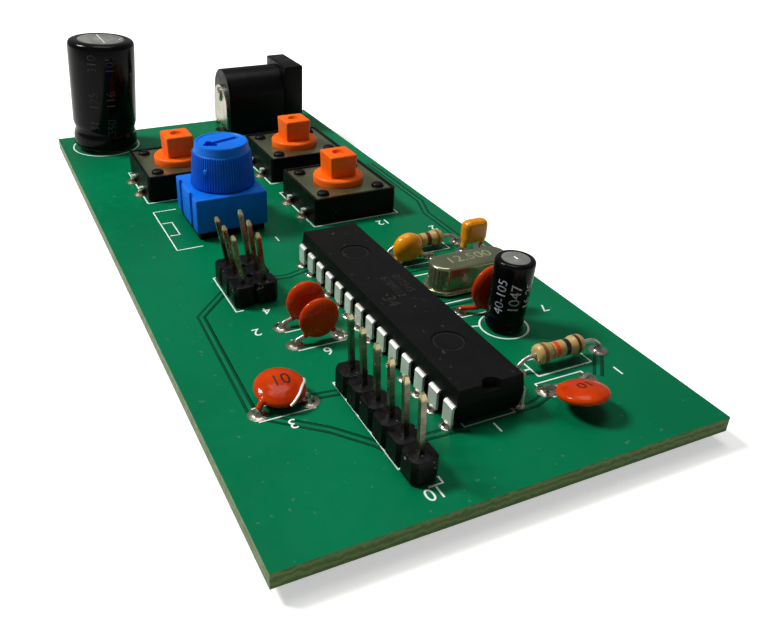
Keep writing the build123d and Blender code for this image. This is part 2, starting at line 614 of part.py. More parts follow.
# ================================================================================================
# Electrolytic capacitors: crimped can, rubber seal, shrunk plastic sleeve and two wires
# ================================================================================================
def build_electrolytic(name, spot, radius, height, lead_spacing, lean):
    board_place = on_board(*spot)
    drilled = drill(spot, evenly(2, lead_spacing))
    lift = CAPACITOR_STANDOFF + radius * (sin(lean[0] * pi / 180) + sin(lean[1] * pi / 180))
    place = Plane(board_place * Location((0, 0, lift), (*lean, 0)))
    upright = Axis(place.origin, place.z_dir)
    wall = SLEEVE_THICKNESS
    inner = wall + FIT
    waist = WAIST_SHARE * height
    groove = GROOVE_SHARE * radius
    seal_top = SEAL_SHARE * height
    seal_radius = radius - inner - RIM_SHARE * radius
    shoulder = SHOULDER_SHARE * radius
    lip = LIP_SHARE * radius

    with BuildPart() as can:
        with BuildSketch(place * Plane.XZ):
            with BuildLine():
                Polyline(
                    (0, seal_top + FIT),
                    (seal_radius + FIT, seal_top + FIT),
                    (seal_radius + FIT, inner),
                    (radius - inner, inner),
                    (radius - inner, height - shoulder - FIT),
                    (radius - shoulder, height - inner),
                    (0, height - inner),
                    close=True,
                )
            make_face()
        revolve(axis=upright)
    save(f"{name}_can", can)

    with BuildPart() as sleeve:
        with BuildSketch(place * Plane.XZ):
            with BuildLine():
                Polyline(
                    (radius - lip - wall, 0),
                    (radius, 0),
                    (radius, waist - groove),
                    (radius - groove, waist),
                    (radius, waist + groove),
                    (radius, height - shoulder),
                    (radius - shoulder, height),
                    (radius - shoulder - lip, height),
                    (radius - shoulder - lip, height - wall),
                    (radius - shoulder, height - wall),
                    (radius - wall, height - shoulder),
                    (radius - wall, wall),
                    (radius - lip - wall, wall),
                    close=True,
                )
            make_face()
        revolve(axis=upright)
    save(f"{name}_sleeve", sleeve)

    with BuildPart() as seal:
        with BuildSketch(place * Plane.XY.offset(inner)):
            Circle(seal_radius)
            with Locations(*drilled):
                RegularPolygon(WIRE_RADIUS + FIT, WIRE_SIDES, mode=Mode.SUBTRACT)
        extrude(amount=seal_top - inner)
    save(f"{name}_seal", seal)

    with BuildPart() as leads:
        for x, y in drilled:
            with BuildSketch(place * Plane.XY.offset(wall)):
                with Locations((x, y)):
                    RegularPolygon(WIRE_RADIUS, WIRE_SIDES)
            extrude(amount=seal_top - wall)
            for plane in (place * Plane.XY.offset(wall), board_place * Plane.XY):
                with BuildSketch(plane):
                    with Locations((x, y)):
                        RegularPolygon(WIRE_RADIUS, WIRE_SIDES)
            loft(ruled=True)
            with BuildSketch(board_place * Plane.XY):
                with Locations((x, y)):
                    RegularPolygon(WIRE_RADIUS, WIRE_SIDES)
            extrude(amount=-BOARD_THICKNESS)
    save(f"{name}_leads", leads)


build_electrolytic(
    "large_capacitor", LARGE_CAPACITOR_AT, LARGE_RADIUS, LARGE_HEIGHT, LARGE_LEAD_SPACING, LARGE_LEAN
)
build_electrolytic(
    "small_capacitor", SMALL_CAPACITOR_AT, SMALL_RADIUS, SMALL_HEIGHT, SMALL_LEAD_SPACING, SMALL_LEAN
)

# ================================================================================================
# Crystal: a drawn metal can welded to a flanged base, on two wires
# ================================================================================================
crystal = on_board(*CRYSTAL_AT)
crystal_holes = drill(CRYSTAL_AT, evenly(2, CRYSTAL_LEAD_SPACING))
crystal_seat = CRYSTAL_STANDOFF + CRYSTAL_FLANGE_THICKNESS

with BuildPart() as crystal_can:
    with BuildSketch(crystal * Plane.XY.offset(crystal_seat)):
        SlotOverall(CRYSTAL_LENGTH, CRYSTAL_WIDTH)
    extrude(amount=CRYSTAL_TOP - crystal_seat)
    chamfer(crystal_can.faces().sort_by(Axis.Z)[-1].edges(), CRYSTAL_ROUNDING)
save("crystal_can", crystal_can)

with BuildPart() as crystal_base:
    with BuildSketch(crystal * Plane.XY.offset(CRYSTAL_STANDOFF)):
        SlotOverall(CRYSTAL_LENGTH + 2 * CRYSTAL_FLANGE, CRYSTAL_WIDTH + 2 * CRYSTAL_FLANGE)
        with Locations(*crystal_holes):
            RegularPolygon(WIRE_RADIUS + FIT, WIRE_SIDES, mode=Mode.SUBTRACT)
    extrude(amount=CRYSTAL_FLANGE_THICKNESS)
save("crystal_base", crystal_base)

with BuildPart() as crystal_leads:
    with BuildSketch(crystal * Plane.XY.offset(-BOARD_THICKNESS)):
        with Locations(*crystal_holes):
            RegularPolygon(WIRE_RADIUS, WIRE_SIDES)
    extrude(amount=BOARD_THICKNESS + crystal_seat)
save("crystal_leads", crystal_leads)


def wire(*points):
    """A bent wire through points."""
    with BuildPart() as bent:
        with BuildLine():
            Polyline(*points)
        with BuildSketch(Plane(origin=points[0], z_dir=points[1] - points[0])):
            RegularPolygon(WIRE_RADIUS, WIRE_SIDES)
        sweep(transition=Transition.RIGHT)
    return bent.part


def at(place, x, y, z):
    """A point given in a place's own axes."""
    return (place * Location((x, y, z))).position


# ================================================================================================
# Resistors: lacquered ceramic rods with bulging end caps, on wires bent down into the board
# ================================================================================================
half_body = RESISTOR_LENGTH / 2
bulb_end = half_body - RESISTOR_BULB_LENGTH
resistors = tuple(zip(RESISTORS_AT, RESISTOR_OFFSETS, RESISTOR_LEVELS))
for number, ((x, y), offset, level) in enumerate(resistors, 1):
    centre = on_board(x + offset, y).offset(level)
    with BuildPart() as resistor:
        with BuildSketch(centre * Plane.XZ):
            with BuildLine():
                Polyline(
                    (-half_body, 0),
                    (-half_body, RESISTOR_BULB_RADIUS - RESISTOR_ROUNDING),
                    (-half_body + RESISTOR_ROUNDING, RESISTOR_BULB_RADIUS),
                    (-bulb_end, RESISTOR_BULB_RADIUS),
                    (-bulb_end, RESISTOR_WAIST_RADIUS),
                    (bulb_end, RESISTOR_WAIST_RADIUS),
                    (bulb_end, RESISTOR_BULB_RADIUS),
                    (half_body - RESISTOR_ROUNDING, RESISTOR_BULB_RADIUS),
                    (half_body, RESISTOR_BULB_RADIUS - RESISTOR_ROUNDING),
                    (half_body, 0),
                    close=True,
                )
            make_face()
        revolve(axis=Axis(centre.origin, centre.x_dir))
    save(f"resistor_{number}", resistor)

with BuildPart() as resistor_leads:
    for spot, offset, level in resistors:
        place = on_board(*spot)
        for x, y in drill(spot, evenly(2, RESISTOR_LEAD_SPACING)):
            side = 1 if x > 0 else -1
            add(
                wire(
                    at(place, x, y, -BOARD_THICKNESS),
                    at(place, x, y, level - 1.0),
                    at(place, x - side * 0.4, y, level - 0.35),
                    at(place, x - side * 1.3, y, level),
                    at(place, offset + side * half_body, y, level),
                )
            )
save("resistor_leads", resistor_leads)


# ================================================================================================
# Ceramic disc capacitors and yellow bead capacitors: dipped bodies, each on two bent wires
# ================================================================================================
for number, (spot, offset, radius, lean) in enumerate(DISCS, 1):
    centre = Plane(on_board(*spot) * Location(offset, (lean, 0, 0)))
    with BuildPart() as disc:
        with BuildSketch(centre * Plane.XZ):
            RegularPolygon(radius, DISC_SIDES, rotation=180 / DISC_SIDES)
        extrude(amount=DISC_THICKNESS / 2, both=True)
        ends = disc.faces().sort_by(Axis(centre.origin, centre.y_dir))
        chamfer(ends[0].edges() + ends[-1].edges(), (DISC_THICKNESS - DISC_RIM) / 2)
    save(f"disc_capacitor_{number}", disc)

with BuildPart() as disc_leads:
    for spot, offset, radius, lean in DISCS:
        centre = Plane(on_board(*spot) * Location(offset, (lean, 0, 0)))
        for x, y in drill(spot, evenly(2, DISC_LEAD_SPACING)):
            out = copysign(sin(DISC_LEAD_ANGLE * pi / 180), x)
            down = -cos(DISC_LEAD_ANGLE * pi / 180)
            add(
                wire(
                    at(on_board(*spot), x, y, -BOARD_THICKNESS),
                    at(on_board(*spot), x, y, WIRE_RADIUS),
                    at(centre, out * (radius + WIRE_STUB), 0, down * (radius + WIRE_STUB)),
                    at(centre, out * (radius + FIT), 0, down * (radius + FIT)),
                )
            )
save("disc_capacitor_leads", disc_leads)

bead_place = on_board(*BEAD_AT)
bead_turns = [2 * pi * i / BEAD_SIDES for i in range(BEAD_SIDES)]
with BuildPart() as bead:
    for share, fullness in BEAD_SECTIONS:
        height = BEAD_BOTTOM + share * BEAD_HEIGHT
        half_width = fullness * BEAD_WIDTH / 2
        half_thickness = fullness * BEAD_THICKNESS / 2
        with BuildSketch(bead_place * Plane.XY.offset(height)):
            points = [(half_width * cos(turn), half_thickness * sin(turn)) for turn in bead_turns]
            with Locations((BEAD_OFFSET, 0)):
                Polygon(*points, align=None)
    loft(ruled=True)
save("bead_capacitor_1", bead)

block_bead = on_board(*BLOCK_BEAD_AT)
leg_foot = BLOCK_BEAD_BOTTOM - BLOCK_BEAD_LEG
with BuildPart() as bead_block:
    with BuildSketch(block_bead * Plane.XZ):
        with Locations((0, (BLOCK_BEAD_BOTTOM + BLOCK_BEAD_TOP) / 2)):
            RectangleRounded(BLOCK_BEAD_WIDTH, BLOCK_BEAD_TOP - BLOCK_BEAD_BOTTOM, 0.9)
        for side in (-1, 1):
            with BuildLine():
                Polyline(
                    (side * BLOCK_BEAD_WIDTH / 2, BLOCK_BEAD_BOTTOM + 1.2),
                    (side * (BLOCK_BEAD_LEAD_SPACING / 2 + WIRE_RADIUS), leg_foot),
                    (side * (BLOCK_BEAD_LEAD_SPACING / 2 - WIRE_RADIUS), leg_foot),
                    (side * BLOCK_BEAD_WIDTH / 8, BLOCK_BEAD_BOTTOM + 0.2),
                    close=True,
                )
            make_face()
    extrude(amount=BLOCK_BEAD_THICKNESS / 2, both=True)
    ends = bead_block.faces().filter_by(Axis.Y)
    chamfer(ends.edges(), 0.18)
save("bead_capacitor_2", bead_block)

with BuildPart() as bead_leads:
    near_hole, (far_x, far_y) = drill(BEAD_AT, evenly(2, BEAD_LEAD_SPACING))
    with BuildSketch(bead_place * Plane.XY.offset(-BOARD_THICKNESS)):
        with Locations(near_hole):
            RegularPolygon(WIRE_RADIUS, WIRE_SIDES)
    extrude(amount=BOARD_THICKNESS + BEAD_LEAD_LEVEL - WIRE_RADIUS / 2)
    add(
        wire(
            at(bead_place, far_x, far_y, -BOARD_THICKNESS),
            at(bead_place, far_x, far_y, BEAD_LEAD_LEVEL - WIRE_RADIUS),
            at(bead_place, far_x - WIRE_RADIUS, far_y, BEAD_LEAD_LEVEL),
            at(bead_place, BEAD_OFFSET + BEAD_LEAD_REACH, far_y, BEAD_LEAD_LEVEL),
        )
    )
    for x, y in drill(BLOCK_BEAD_AT, evenly(2, BLOCK_BEAD_LEAD_SPACING)):
        with BuildSketch(block_bead * Plane.XY.offset(leg_foot)):
            with Locations((x, y)):
                RegularPolygon(WIRE_RADIUS, WIRE_SIDES)
        extrude(amount=-leg_foot - BOARD_THICKNESS)
save("bead_capacitor_leads", bead_leads)

# ================================================================================================
# Board and solder: the drilled laminate, and one joint under every lead
# ================================================================================================
with BuildPart() as circuit_board:
    with BuildSketch(Plane.XY.offset(JOINT_HEIGHT)):
        Rectangle(BOARD_WIDTH, BOARD_LENGTH)
        for x, y, radius in lead_holes:
            with Locations((x - BOARD_WIDTH / 2, y - BOARD_LENGTH / 2)):
                RegularPolygon(radius, HOLE_SIDES, mode=Mode.SUBTRACT)
    extrude(amount=BOARD_THICKNESS)
save("circuit_board", circuit_board)

with BuildPart() as solder_joints:
    for x, y, radius in lead_holes:
        with BuildPart(mode=Mode.PRIVATE) as joint:
            with BuildSketch(Plane.XY):
                RegularPolygon(radius + LAND_RING, HOLE_SIDES)
            extrude(amount=JOINT_HEIGHT)
            chamfer(joint.faces().sort_by(Axis.Z)[0].edges(), JOINT_CHAMFER)
        with Locations((x - BOARD_WIDTH / 2, y - BOARD_LENGTH / 2)):
            add(joint.part)
save("solder_joints", solder_joints)
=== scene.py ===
import math

import bmesh
import bpy
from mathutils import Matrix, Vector


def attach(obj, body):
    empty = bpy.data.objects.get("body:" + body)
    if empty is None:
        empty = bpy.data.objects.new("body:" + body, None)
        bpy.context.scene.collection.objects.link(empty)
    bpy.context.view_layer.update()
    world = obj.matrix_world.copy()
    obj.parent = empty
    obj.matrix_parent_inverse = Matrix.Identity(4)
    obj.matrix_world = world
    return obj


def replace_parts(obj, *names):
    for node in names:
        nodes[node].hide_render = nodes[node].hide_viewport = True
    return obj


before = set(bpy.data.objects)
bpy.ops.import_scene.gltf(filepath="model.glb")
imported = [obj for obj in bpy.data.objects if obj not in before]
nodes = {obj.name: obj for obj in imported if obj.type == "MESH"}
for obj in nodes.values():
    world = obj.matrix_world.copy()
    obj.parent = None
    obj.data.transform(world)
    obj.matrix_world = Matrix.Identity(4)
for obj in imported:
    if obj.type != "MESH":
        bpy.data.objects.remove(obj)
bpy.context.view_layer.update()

# ------------------------------------------------------------
# Bare board: glass-cloth laminate, 1.6 mm thick, sawn from a panel and drilled.
# Both faces carry green solder mask, and the sawn edges show the pale laminate.
MM = 0.001


def colour(code):
    """Linear red, green, blue and alpha of a colour written as six hexadecimal digits."""
    channels = [int(code[i : i + 2], 16) / 255 for i in (0, 2, 4)]
    linear = [c / 12.92 if c <= 0.04045 else ((c + 0.055) / 1.055) ** 2.4 for c in channels]
    return (*linear, 1.0)


def new_group(name, inputs, outputs):
    """An empty shader group with its sockets, and its input and output nodes."""
    group = bpy.data.node_groups.new(name, "ShaderNodeTree")
    for direction, sockets in (("INPUT", inputs), ("OUTPUT", outputs)):
        for label, kind in sockets:
            group.interface.new_socket(label, in_out=direction, socket_type=f"NodeSocket{kind}")
    return group, group.nodes.new("NodeGroupInput"), group.nodes.new("NodeGroupOutput")


def add_node(tree, kind, **settings):
    """A new shader node of a kind, with its settings."""
    node = tree.nodes.new(f"ShaderNode{kind}")
    for label, value in settings.items():
        setattr(node, label, value)
    return node


def feed(tree, value, socket):
    """Set a node's input from another node's output or from a plain value."""
    if isinstance(value, bpy.types.NodeSocket):
        tree.links.new(value, socket)
    else:
        socket.default_value = value


def mix_colours(tree, factor, first, second):
    """Two colours mixed by a factor, which are inputs 6, 7 and 0 of a colour mix."""
    mix = add_node(tree, "Mix", data_type="RGBA")
    for index, value in ((0, factor), (6, first), (7, second)):
        feed(tree, value, mix.inputs[index])
    return mix.outputs[2]


def ramp(tree, value, low, high, out_low=0.0, out_high=1.0):
    """A value mapped from one range to another, held at its ends."""
    node = add_node(tree, "MapRange")
    tree.links.new(value, node.inputs["Value"])
    for label, end in (("From Min", low), ("From Max", high), ("To Min", out_low), ("To Max", out_high)):
        feed(tree, end, node.inputs[label])
    return node.outputs["Result"]


def noise(tree, vector, scale, detail=3.0):
    """A noise texture on a vector; scale is in features per metre."""
    node = add_node(tree, "TexNoise")
    for label, value in (("Vector", vector), ("Scale", scale), ("Detail", detail)):
        feed(tree, value, node.inputs[label])
    return node.outputs["Fac"]


# Patches of a second colour, specks of dust, smears that change the gloss, and a fine grain
surface, given, result = new_group(
    "surface",
    [("Base", "Color"), ("Shade", "Color")]
    + [(label, "Float") for label in ("Scale", "Smooth", "Rough", "Grain", "Dust")],
    [("Color", "Color"), ("Roughness", "Float"), ("Normal", "Vector")],
)
place = add_node(surface, "TexCoord").outputs["Object"]
patches = ramp(surface, noise(surface, place, given.outputs["Scale"]), 0.35, 0.65)
mottled = mix_colours(surface, patches, given.outputs["Base"], given.outputs["Shade"])
DUST_COLOUR = colour("B8B8AE")
specks = ramp(surface, noise(surface, place, 1300.0, 2.0), 0.7, 0.73, 0.0, given.outputs["Dust"])
surface.links.new(mix_colours(surface, specks, mottled, DUST_COLOUR), result.inputs["Color"])
smears = noise(surface, place, 900.0, 4.0)
surface.links.new(
    ramp(surface, smears, 0.35, 0.65, given.outputs["Smooth"], given.outputs["Rough"]),
    result.inputs["Roughness"],
)
relief = add_node(surface, "Bump")
relief.inputs["Strength"].default_value = 1.0
surface.links.new(given.outputs["Grain"], relief.inputs["Distance"])
surface.links.new(noise(surface, place, 6000.0, 2.0), relief.inputs["Height"])
surface.links.new(relief.outputs["Normal"], result.inputs["Normal"])


def finish(name, base, shade, scale, smooth, rough, grain, dust=0.0, metallic=0.0, specular=0.5):
    """A material with the shared surface group, its grain in millimetres."""
    material = bpy.data.materials.new(name)
    material.use_nodes = True
    tree = material.node_tree
    shader = tree.nodes["Principled BSDF"]
    skin = add_node(tree, "Group")
    skin.node_tree = surface
    values = (colour(base), colour(shade), scale, smooth, rough, grain * MM, dust)
    for label, value in zip(("Base", "Shade", "Scale", "Smooth", "Rough", "Grain", "Dust"), values):
        skin.inputs[label].default_value = value
    tree.links.new(skin.outputs["Color"], shader.inputs["Base Color"])
    tree.links.new(skin.outputs["Roughness"], shader.inputs["Roughness"])
    tree.links.new(skin.outputs["Normal"], shader.inputs["Normal"])
    shader.inputs["Metallic"].default_value = metallic
    shader.inputs["Specular IOR Level"].default_value = specular
    return material


def coat(piece, *materials):
    """Give a piece these materials and no others."""
    piece.data.materials.clear()
    for material in materials:
        piece.data.materials.append(material)


def dress(material, *names):
    """Give CAD nodes a material."""
    for name in names:
        coat(nodes[name], material)


laminate = finish("laminate", "00744A", "006A42", 55.0, 0.28, 0.42, 0.002, 0.08, specular=0.08)
tree = laminate.node_tree
shader = tree.nodes["Principled BSDF"]
normal = add_node(tree, "NewGeometry").outputs["Normal"]
axes = add_node(tree, "SeparateXYZ")
tree.links.new(normal, axes.inputs["Vector"])
steepness = add_node(tree, "Math", operation="ABSOLUTE")
tree.links.new(axes.outputs["Z"], steepness.inputs[0])
masked = ramp(tree, steepness.outputs[0], 0.4, 0.6)
position = add_node(tree, "TexCoord").outputs["Object"]
plies = add_node(tree, "TexWave", bands_direction="Z")
for label, value in (("Scale", 420.0), ("Distortion", 5.0), ("Detail", 3.0), ("Detail Scale", 3.0)):
    plies.inputs[label].default_value = value
tree.links.new(position, plies.inputs["Vector"])
sawn = mix_colours(tree, plies.outputs["Fac"], colour("4E6A3C"), colour("6F8650"))
mask_colour = shader.inputs["Base Color"].links[0].from_socket
tree.links.new(mix_colours(tree, masked, sawn, mask_colour), shader.inputs["Base Color"])
dress(laminate, "circuit_board")

# ------------------------------------------------------------
# Traces: copper tracks under the solder mask, each between two gaps in the copper round it.
# The gaps show as darker green lines, and the track as a slightly raised paler one.
BOARD_WIDTH = 45.0
BOARD_LENGTH = 100.0
BOARD_TOP = 2.9
BOARD_UNDERSIDE = 1.3
TRACK_WIDTH = 0.42
TRACK_WITH_GAPS = 1.05


def spot(x, y, z=0.0):
    """A place in metres, from millimetres off the board's front left corner and above its top."""
    return Vector(((x - BOARD_WIDTH / 2) * MM, (y - BOARD_LENGTH / 2) * MM, (z + BOARD_TOP) * MM))


def deselect():
    """Select nothing."""
    bpy.ops.object.select_all(action="DESELECT")


def only(*pieces):
    """Select these pieces and nothing else, the last one active."""
    deselect()
    for piece in pieces:
        piece.select_set(True)
    bpy.context.view_layer.objects.active = pieces[-1]


def settle(piece, *materials):
    """Apply a piece's place, turn and size to its mesh, and give it its materials."""
    only(piece)
    bpy.ops.object.transform_apply(location=True, rotation=True, scale=True)
    for material in materials:
        piece.data.materials.append(material)
    return piece


def joined(name, *pieces):
    """Several meshes as one piece."""
    only(*pieces)
    bpy.ops.object.join()
    piece = bpy.context.object
    piece.name = name
    piece.data.name = name
    return piece


def bent_rod(name, runs, thickness, kind="POLY", sides=2):
    """Rods along runs of places, as one mesh; NURBS runs are smooth and POLY runs have corners."""
    curve = bpy.data.curves.new(name, "CURVE")
    curve.dimensions = "3D"
    curve.bevel_depth = thickness * MM / 2
    curve.bevel_resolution = sides
    curve.use_fill_caps = True
    for run in runs:
        line = curve.splines.new(kind)
        line.points.add(len(run) - 1)
        for point, where in zip(line.points, run):
            point.co = (*where, 1.0)
        if kind == "NURBS":
            line.order_u = 3
            line.use_endpoint_u = True
            line.resolution_u = 6
    rod = bpy.data.objects.new(name, curve)
    bpy.context.scene.collection.objects.link(rod)
    only(rod)
    bpy.ops.object.convert(target="MESH")
    return bpy.context.object


def flat_lines(name, runs, width, material, side=1, height=0.015):
    """Low lines on the board's top (side 1) or underside (-1), in x and y from its corner."""
    rod = bent_rod(name, [[spot(x, y, -BOARD_TOP) for x, y in run] for run in runs], width)
    rod.scale = (1, 1, 2 * height / width)
    rod.location.z = (BOARD_TOP if side > 0 else BOARD_UNDERSIDE) * MM
    return settle(rod, material)


TRACKS = (
    ((9.8, 40.0), (5.6, 35.5), (5.1, 17.9)),
    ((5.6, 16.9), (10.6, 12.8), (13.5, 9.5), (14.85, 7.2)),
    ((11.0, 17.8), (14.85, 17.3)),
    ((15.2, 9.3), (17.9, 8.6), (20.4, 8.5), (22.1, 8.1)),
    ((15.6, 40.7), (17.8, 40.4), (20.4, 41.2)),
    ((41.0, 13.2), (38.2, 9.9)),
    ((31.6, 9.4), (29.7, 8.7), (27.2, 8.6)),
    ((40.9, 38.9), (42.35, 41.8), (42.3, 50.0), (43.6, 54.0), (43.6, 70.0)),
    ((27.9, 34.0), (29.8, 36.0), (42.6, 36.0)),
    ((28.2, 31.6), (30.6, 31.9), (33.8, 31.0)),
    ((28.2, 28.0), (30.8, 27.4), (38.6, 27.2)),
)
gap_green = finish("mask_gap", "00482E", "00422A", 300.0, 0.3, 0.42, 0.001, specular=0.1)
track_green = finish("mask_track", "006C48", "007850", 300.0, 0.3, 0.42, 0.001, specular=0.12)
gaps = flat_lines("trace_gaps", TRACKS, TRACK_WITH_GAPS, gap_green, height=0.004)
tracks = flat_lines("traces", TRACKS, TRACK_WIDTH, track_green, height=0.012)
BACK_TRACKS = (
    ((26.0, 94.7), (20.0, 88.0), (20.0, 80.5)),
    ((31.6, 94.7), (31.6, 82.0), (43.0, 76.0), (43.0, 20.0), (39.0, 13.4)),
    ((6.9, 76.4), (4.0, 72.0), (4.0, 52.0), (11.1, 40.0)),
    ((9.4, 94.0), (12.0, 86.0), (20.4, 79.0)),
    ((15.6, 60.6), (20.4, 47.0), (24.2, 30.0), (28.0, 24.4)),
    ((14.85, 12.3), (24.0, 14.0), (28.0, 19.4)),
    ((38.9, 76.7), (41.4, 68.0), (41.4, 44.0), (28.0, 40.9)),
    ((25.9, 60.5), (23.0, 50.0), (28.0, 38.4)),
)
back_gaps = flat_lines("back_trace_gaps", BACK_TRACKS, TRACK_WITH_GAPS, gap_green, -1, 0.004)
back_tracks = flat_lines("back_traces", BACK_TRACKS, TRACK_WIDTH, track_green, -1, 0.012)
for piece in (gaps, tracks, back_gaps, back_tracks):
    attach(piece, "board")

# ------------------------------------------------------------
# Printing on the board: outlines of the components and a number beside each, in white ink.
# It is screen printed on the solder mask, a few hundredths of a millimetre thick.
ink = finish("white_ink", "F8FCF8", "E8F0E8", 900.0, 0.5, 0.7, 0.002, specular=0.3)


def bracket(x_left, x_right, y, tick):
    """A line across with a short tick at each end."""
    return ((x_left, y + tick), (x_left, y), (x_right, y), (x_right, y + tick))


def box_outline(x, y, size):
    """A square outline about a place."""
    half = size / 2
    corners = ((x - half, y - half), (x + half, y - half), (x + half, y + half), (x - half, y + half))
    return (*corners, corners[0])


def round_outline(x, y, radius, steps):
    """A circle about a place, as a closed run of steps."""
    turns = [step * 2 * math.pi / steps for step in range(steps + 1)]
    return [(x + radius * math.cos(turn), y + radius * math.sin(turn)) for turn in turns]


LINE_WIDTH = 0.23
NUMBER_SIZE = 1.9
SWITCHES = ((13.85, 73.9), (32.4, 74.2), (32.4, 58.0))
LARGE_CAN_AT = (6.9, 94.0)
SMALL_CAN_AT = (34.9, 21.2)
OUTLINES = [
    ((14.3, 19.0), (13.78, 19.0), (13.68, 5.95), (14.3, 5.95)),
    ((14.9, 3.1), (16.3, 3.1), (16.3, 3.9)),
    ((10.2, 43.3), (9.45, 43.3), (9.45, 35.0), (10.3, 35.0)),
    ((10.6, 64.35), (7.45, 64.35), (7.45, 51.94), (10.8, 51.94)),
    ((7.7, 56.3), (9.0, 56.3), (9.0, 60.3), (7.7, 60.3)),
    ((21.8, 9.0), (21.8, 8.43), (27.25, 8.43), (27.25, 9.0)),
    bracket(5.24, 10.68, 16.2, 0.5),
    bracket(5.24, 10.68, 18.25, -0.5),
    bracket(12.9, 18.16, 25.35, 0.5),
    bracket(12.9, 18.16, 27.45, -0.4),
    bracket(12.9, 18.16, 29.05, 0.4),
    bracket(12.9, 18.16, 31.15, -0.5),
    bracket(31.6, 37.1, 11.2, -0.5),
    ((32.0, 9.3), (32.0, 8.85), (37.0, 8.85), (37.0, 9.3)),
    bracket(31.8, 37.1, 24.4, 0.4),
    bracket(30.8, 36.1, 37.1, 0.4),
    bracket(30.8, 36.1, 39.2, -0.4),
    ((32.7, 12.1), (39.2, 12.1), (39.2, 14.8), (32.7, 14.8), (32.7, 12.1)),
    ((31.9, 13.45), (32.7, 13.45)),
    ((32.9, 39.4), (39.5, 39.4), (39.5, 41.9), (32.9, 41.9), (32.9, 39.4)),
    ((30.4, 34.6), (35.6, 34.6)),
    ((31.0, 27.6), (41.4, 27.6)),
    ((40.4, 37.0), (43.6, 37.0)),
    round_outline(35.0, 21.2, 2.6, 32),
    ((31.7, 22.4), (32.5, 22.2)),
    round_outline(*LARGE_CAN_AT, 5.25, 40),
    *[box_outline(x, y, 12.6) for x, y in SWITCHES],
    ((41.2, 90.0), (27.0, 90.0)),
]
outlines = flat_lines("board_outlines", OUTLINES, LINE_WIDTH, ink)


def number(text, size, thickness, place=(0, 0, 0), turn=(0, 0, 0)):
    """A plain number as a mesh, turned about its own middle at a place, its size in millimetres."""
    bpy.ops.object.text_add(location=place, rotation=turn)
    label = bpy.context.object
    label.data.body = text
    label.data.size = size * MM
    label.data.extrude = thickness * MM / 2
    label.data.align_x = "CENTER"
    label.data.align_y = "CENTER"
    only(label)
    bpy.ops.object.convert(target="MESH")
    return settle(bpy.context.object)


NUMBERS = (
    ("10", 15.05, 2.35),
    ("1", 24.5, 7.3),
    ("3", 7.9, 14.9),
    ("2", 10.1, 30.3),
    ("6", 15.6, 24.2),
    ("7", 41.3, 22.6),
    ("1", 40.6, 9.9),
    ("2", 40.7, 45.5),
    ("1", 20.2, 50.3),
    ("12", 35.3, 49.6),
    ("4", 12.6, 34.0),
    ("3", 40.6, 66.4),
)
labels = [number(text, NUMBER_SIZE, 0.02, spot(x, y, 0.012), (0, 0, math.pi)) for text, x, y in NUMBERS]
numbers = joined("board_numbers", *labels)
coat(numbers, ink)
for piece in (outlines, numbers):
    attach(piece, "board")

# ------------------------------------------------------------
# Solder: every lead ends in a rounded joint under the board, and wicks up through its hole.
# On top it leaves a bright ring with a low cone round the lead, soft and slightly flat.


def edit_all(piece):
    """Open a piece for shaping with its whole mesh selected."""
    only(piece)
    bpy.ops.object.mode_set(mode="EDIT")
    bpy.ops.mesh.select_all(action="SELECT")


def leave_edit():
    """Leave a piece's mesh."""
    bpy.ops.object.mode_set(mode="OBJECT")


def close_edit():
    """Merge doubles, turn every face outwards and leave the mesh."""
    bpy.ops.mesh.select_all(action="SELECT")
    bpy.ops.mesh.remove_doubles(threshold=0.0005 * MM)
    bpy.ops.mesh.normals_make_consistent(inside=False)
    leave_edit()


def shade_smooth(piece, angle):
    """Shade a piece smoothly, except where two faces meet at more than this many degrees."""
    only(piece)
    bpy.ops.object.shade_smooth_by_angle(angle=math.radians(angle))


def turned(name, profile, sides=48, smooth=40.0, place=(0, 0, 0)):
    """A round piece: a disc at the profile's first radius and height, drawn out ring by ring."""
    radius, height = profile[0]
    deselect()
    bpy.ops.mesh.primitive_circle_add(
        vertices=sides, radius=radius * MM, fill_type="NGON", location=(0, 0, height * MM)
    )
    piece = bpy.context.object
    piece.name = name
    settle(piece)
    edit_all(piece)
    for next_radius, next_height in profile[1:]:
        bpy.ops.mesh.extrude_region_move(
            TRANSFORM_OT_translate={"value": (0, 0, (next_height - height) * MM)}
        )
        factor = next_radius / radius
        bpy.ops.transform.resize(value=(factor, factor, 1), center_override=(0, 0, next_height * MM))
        radius, height = next_radius, next_height
    close_edit()
    shade_smooth(piece, smooth)
    piece.location = place
    return settle(piece)


def twin(piece, name):
    """A copy of a piece with its own mesh."""
    copy = piece.copy()
    copy.data = piece.data.copy()
    copy.name = name
    bpy.context.scene.collection.objects.link(copy)
    return copy


NEXT_TURN = 0.7


def scatter(name, pattern, places, *materials):
    """Copies of a pattern at places, each turned a little further, as one piece; the pattern goes."""
    copies = []
    for index, where in enumerate(places):
        copy = twin(pattern, f"{name}_{index}")
        copy.location = where
        copy.rotation_euler.z = NEXT_TURN * index
        copies.append(settle(copy))
    bpy.data.objects.remove(pattern)
    piece = joined(name, *copies)
    coat(piece, *materials)
    return piece


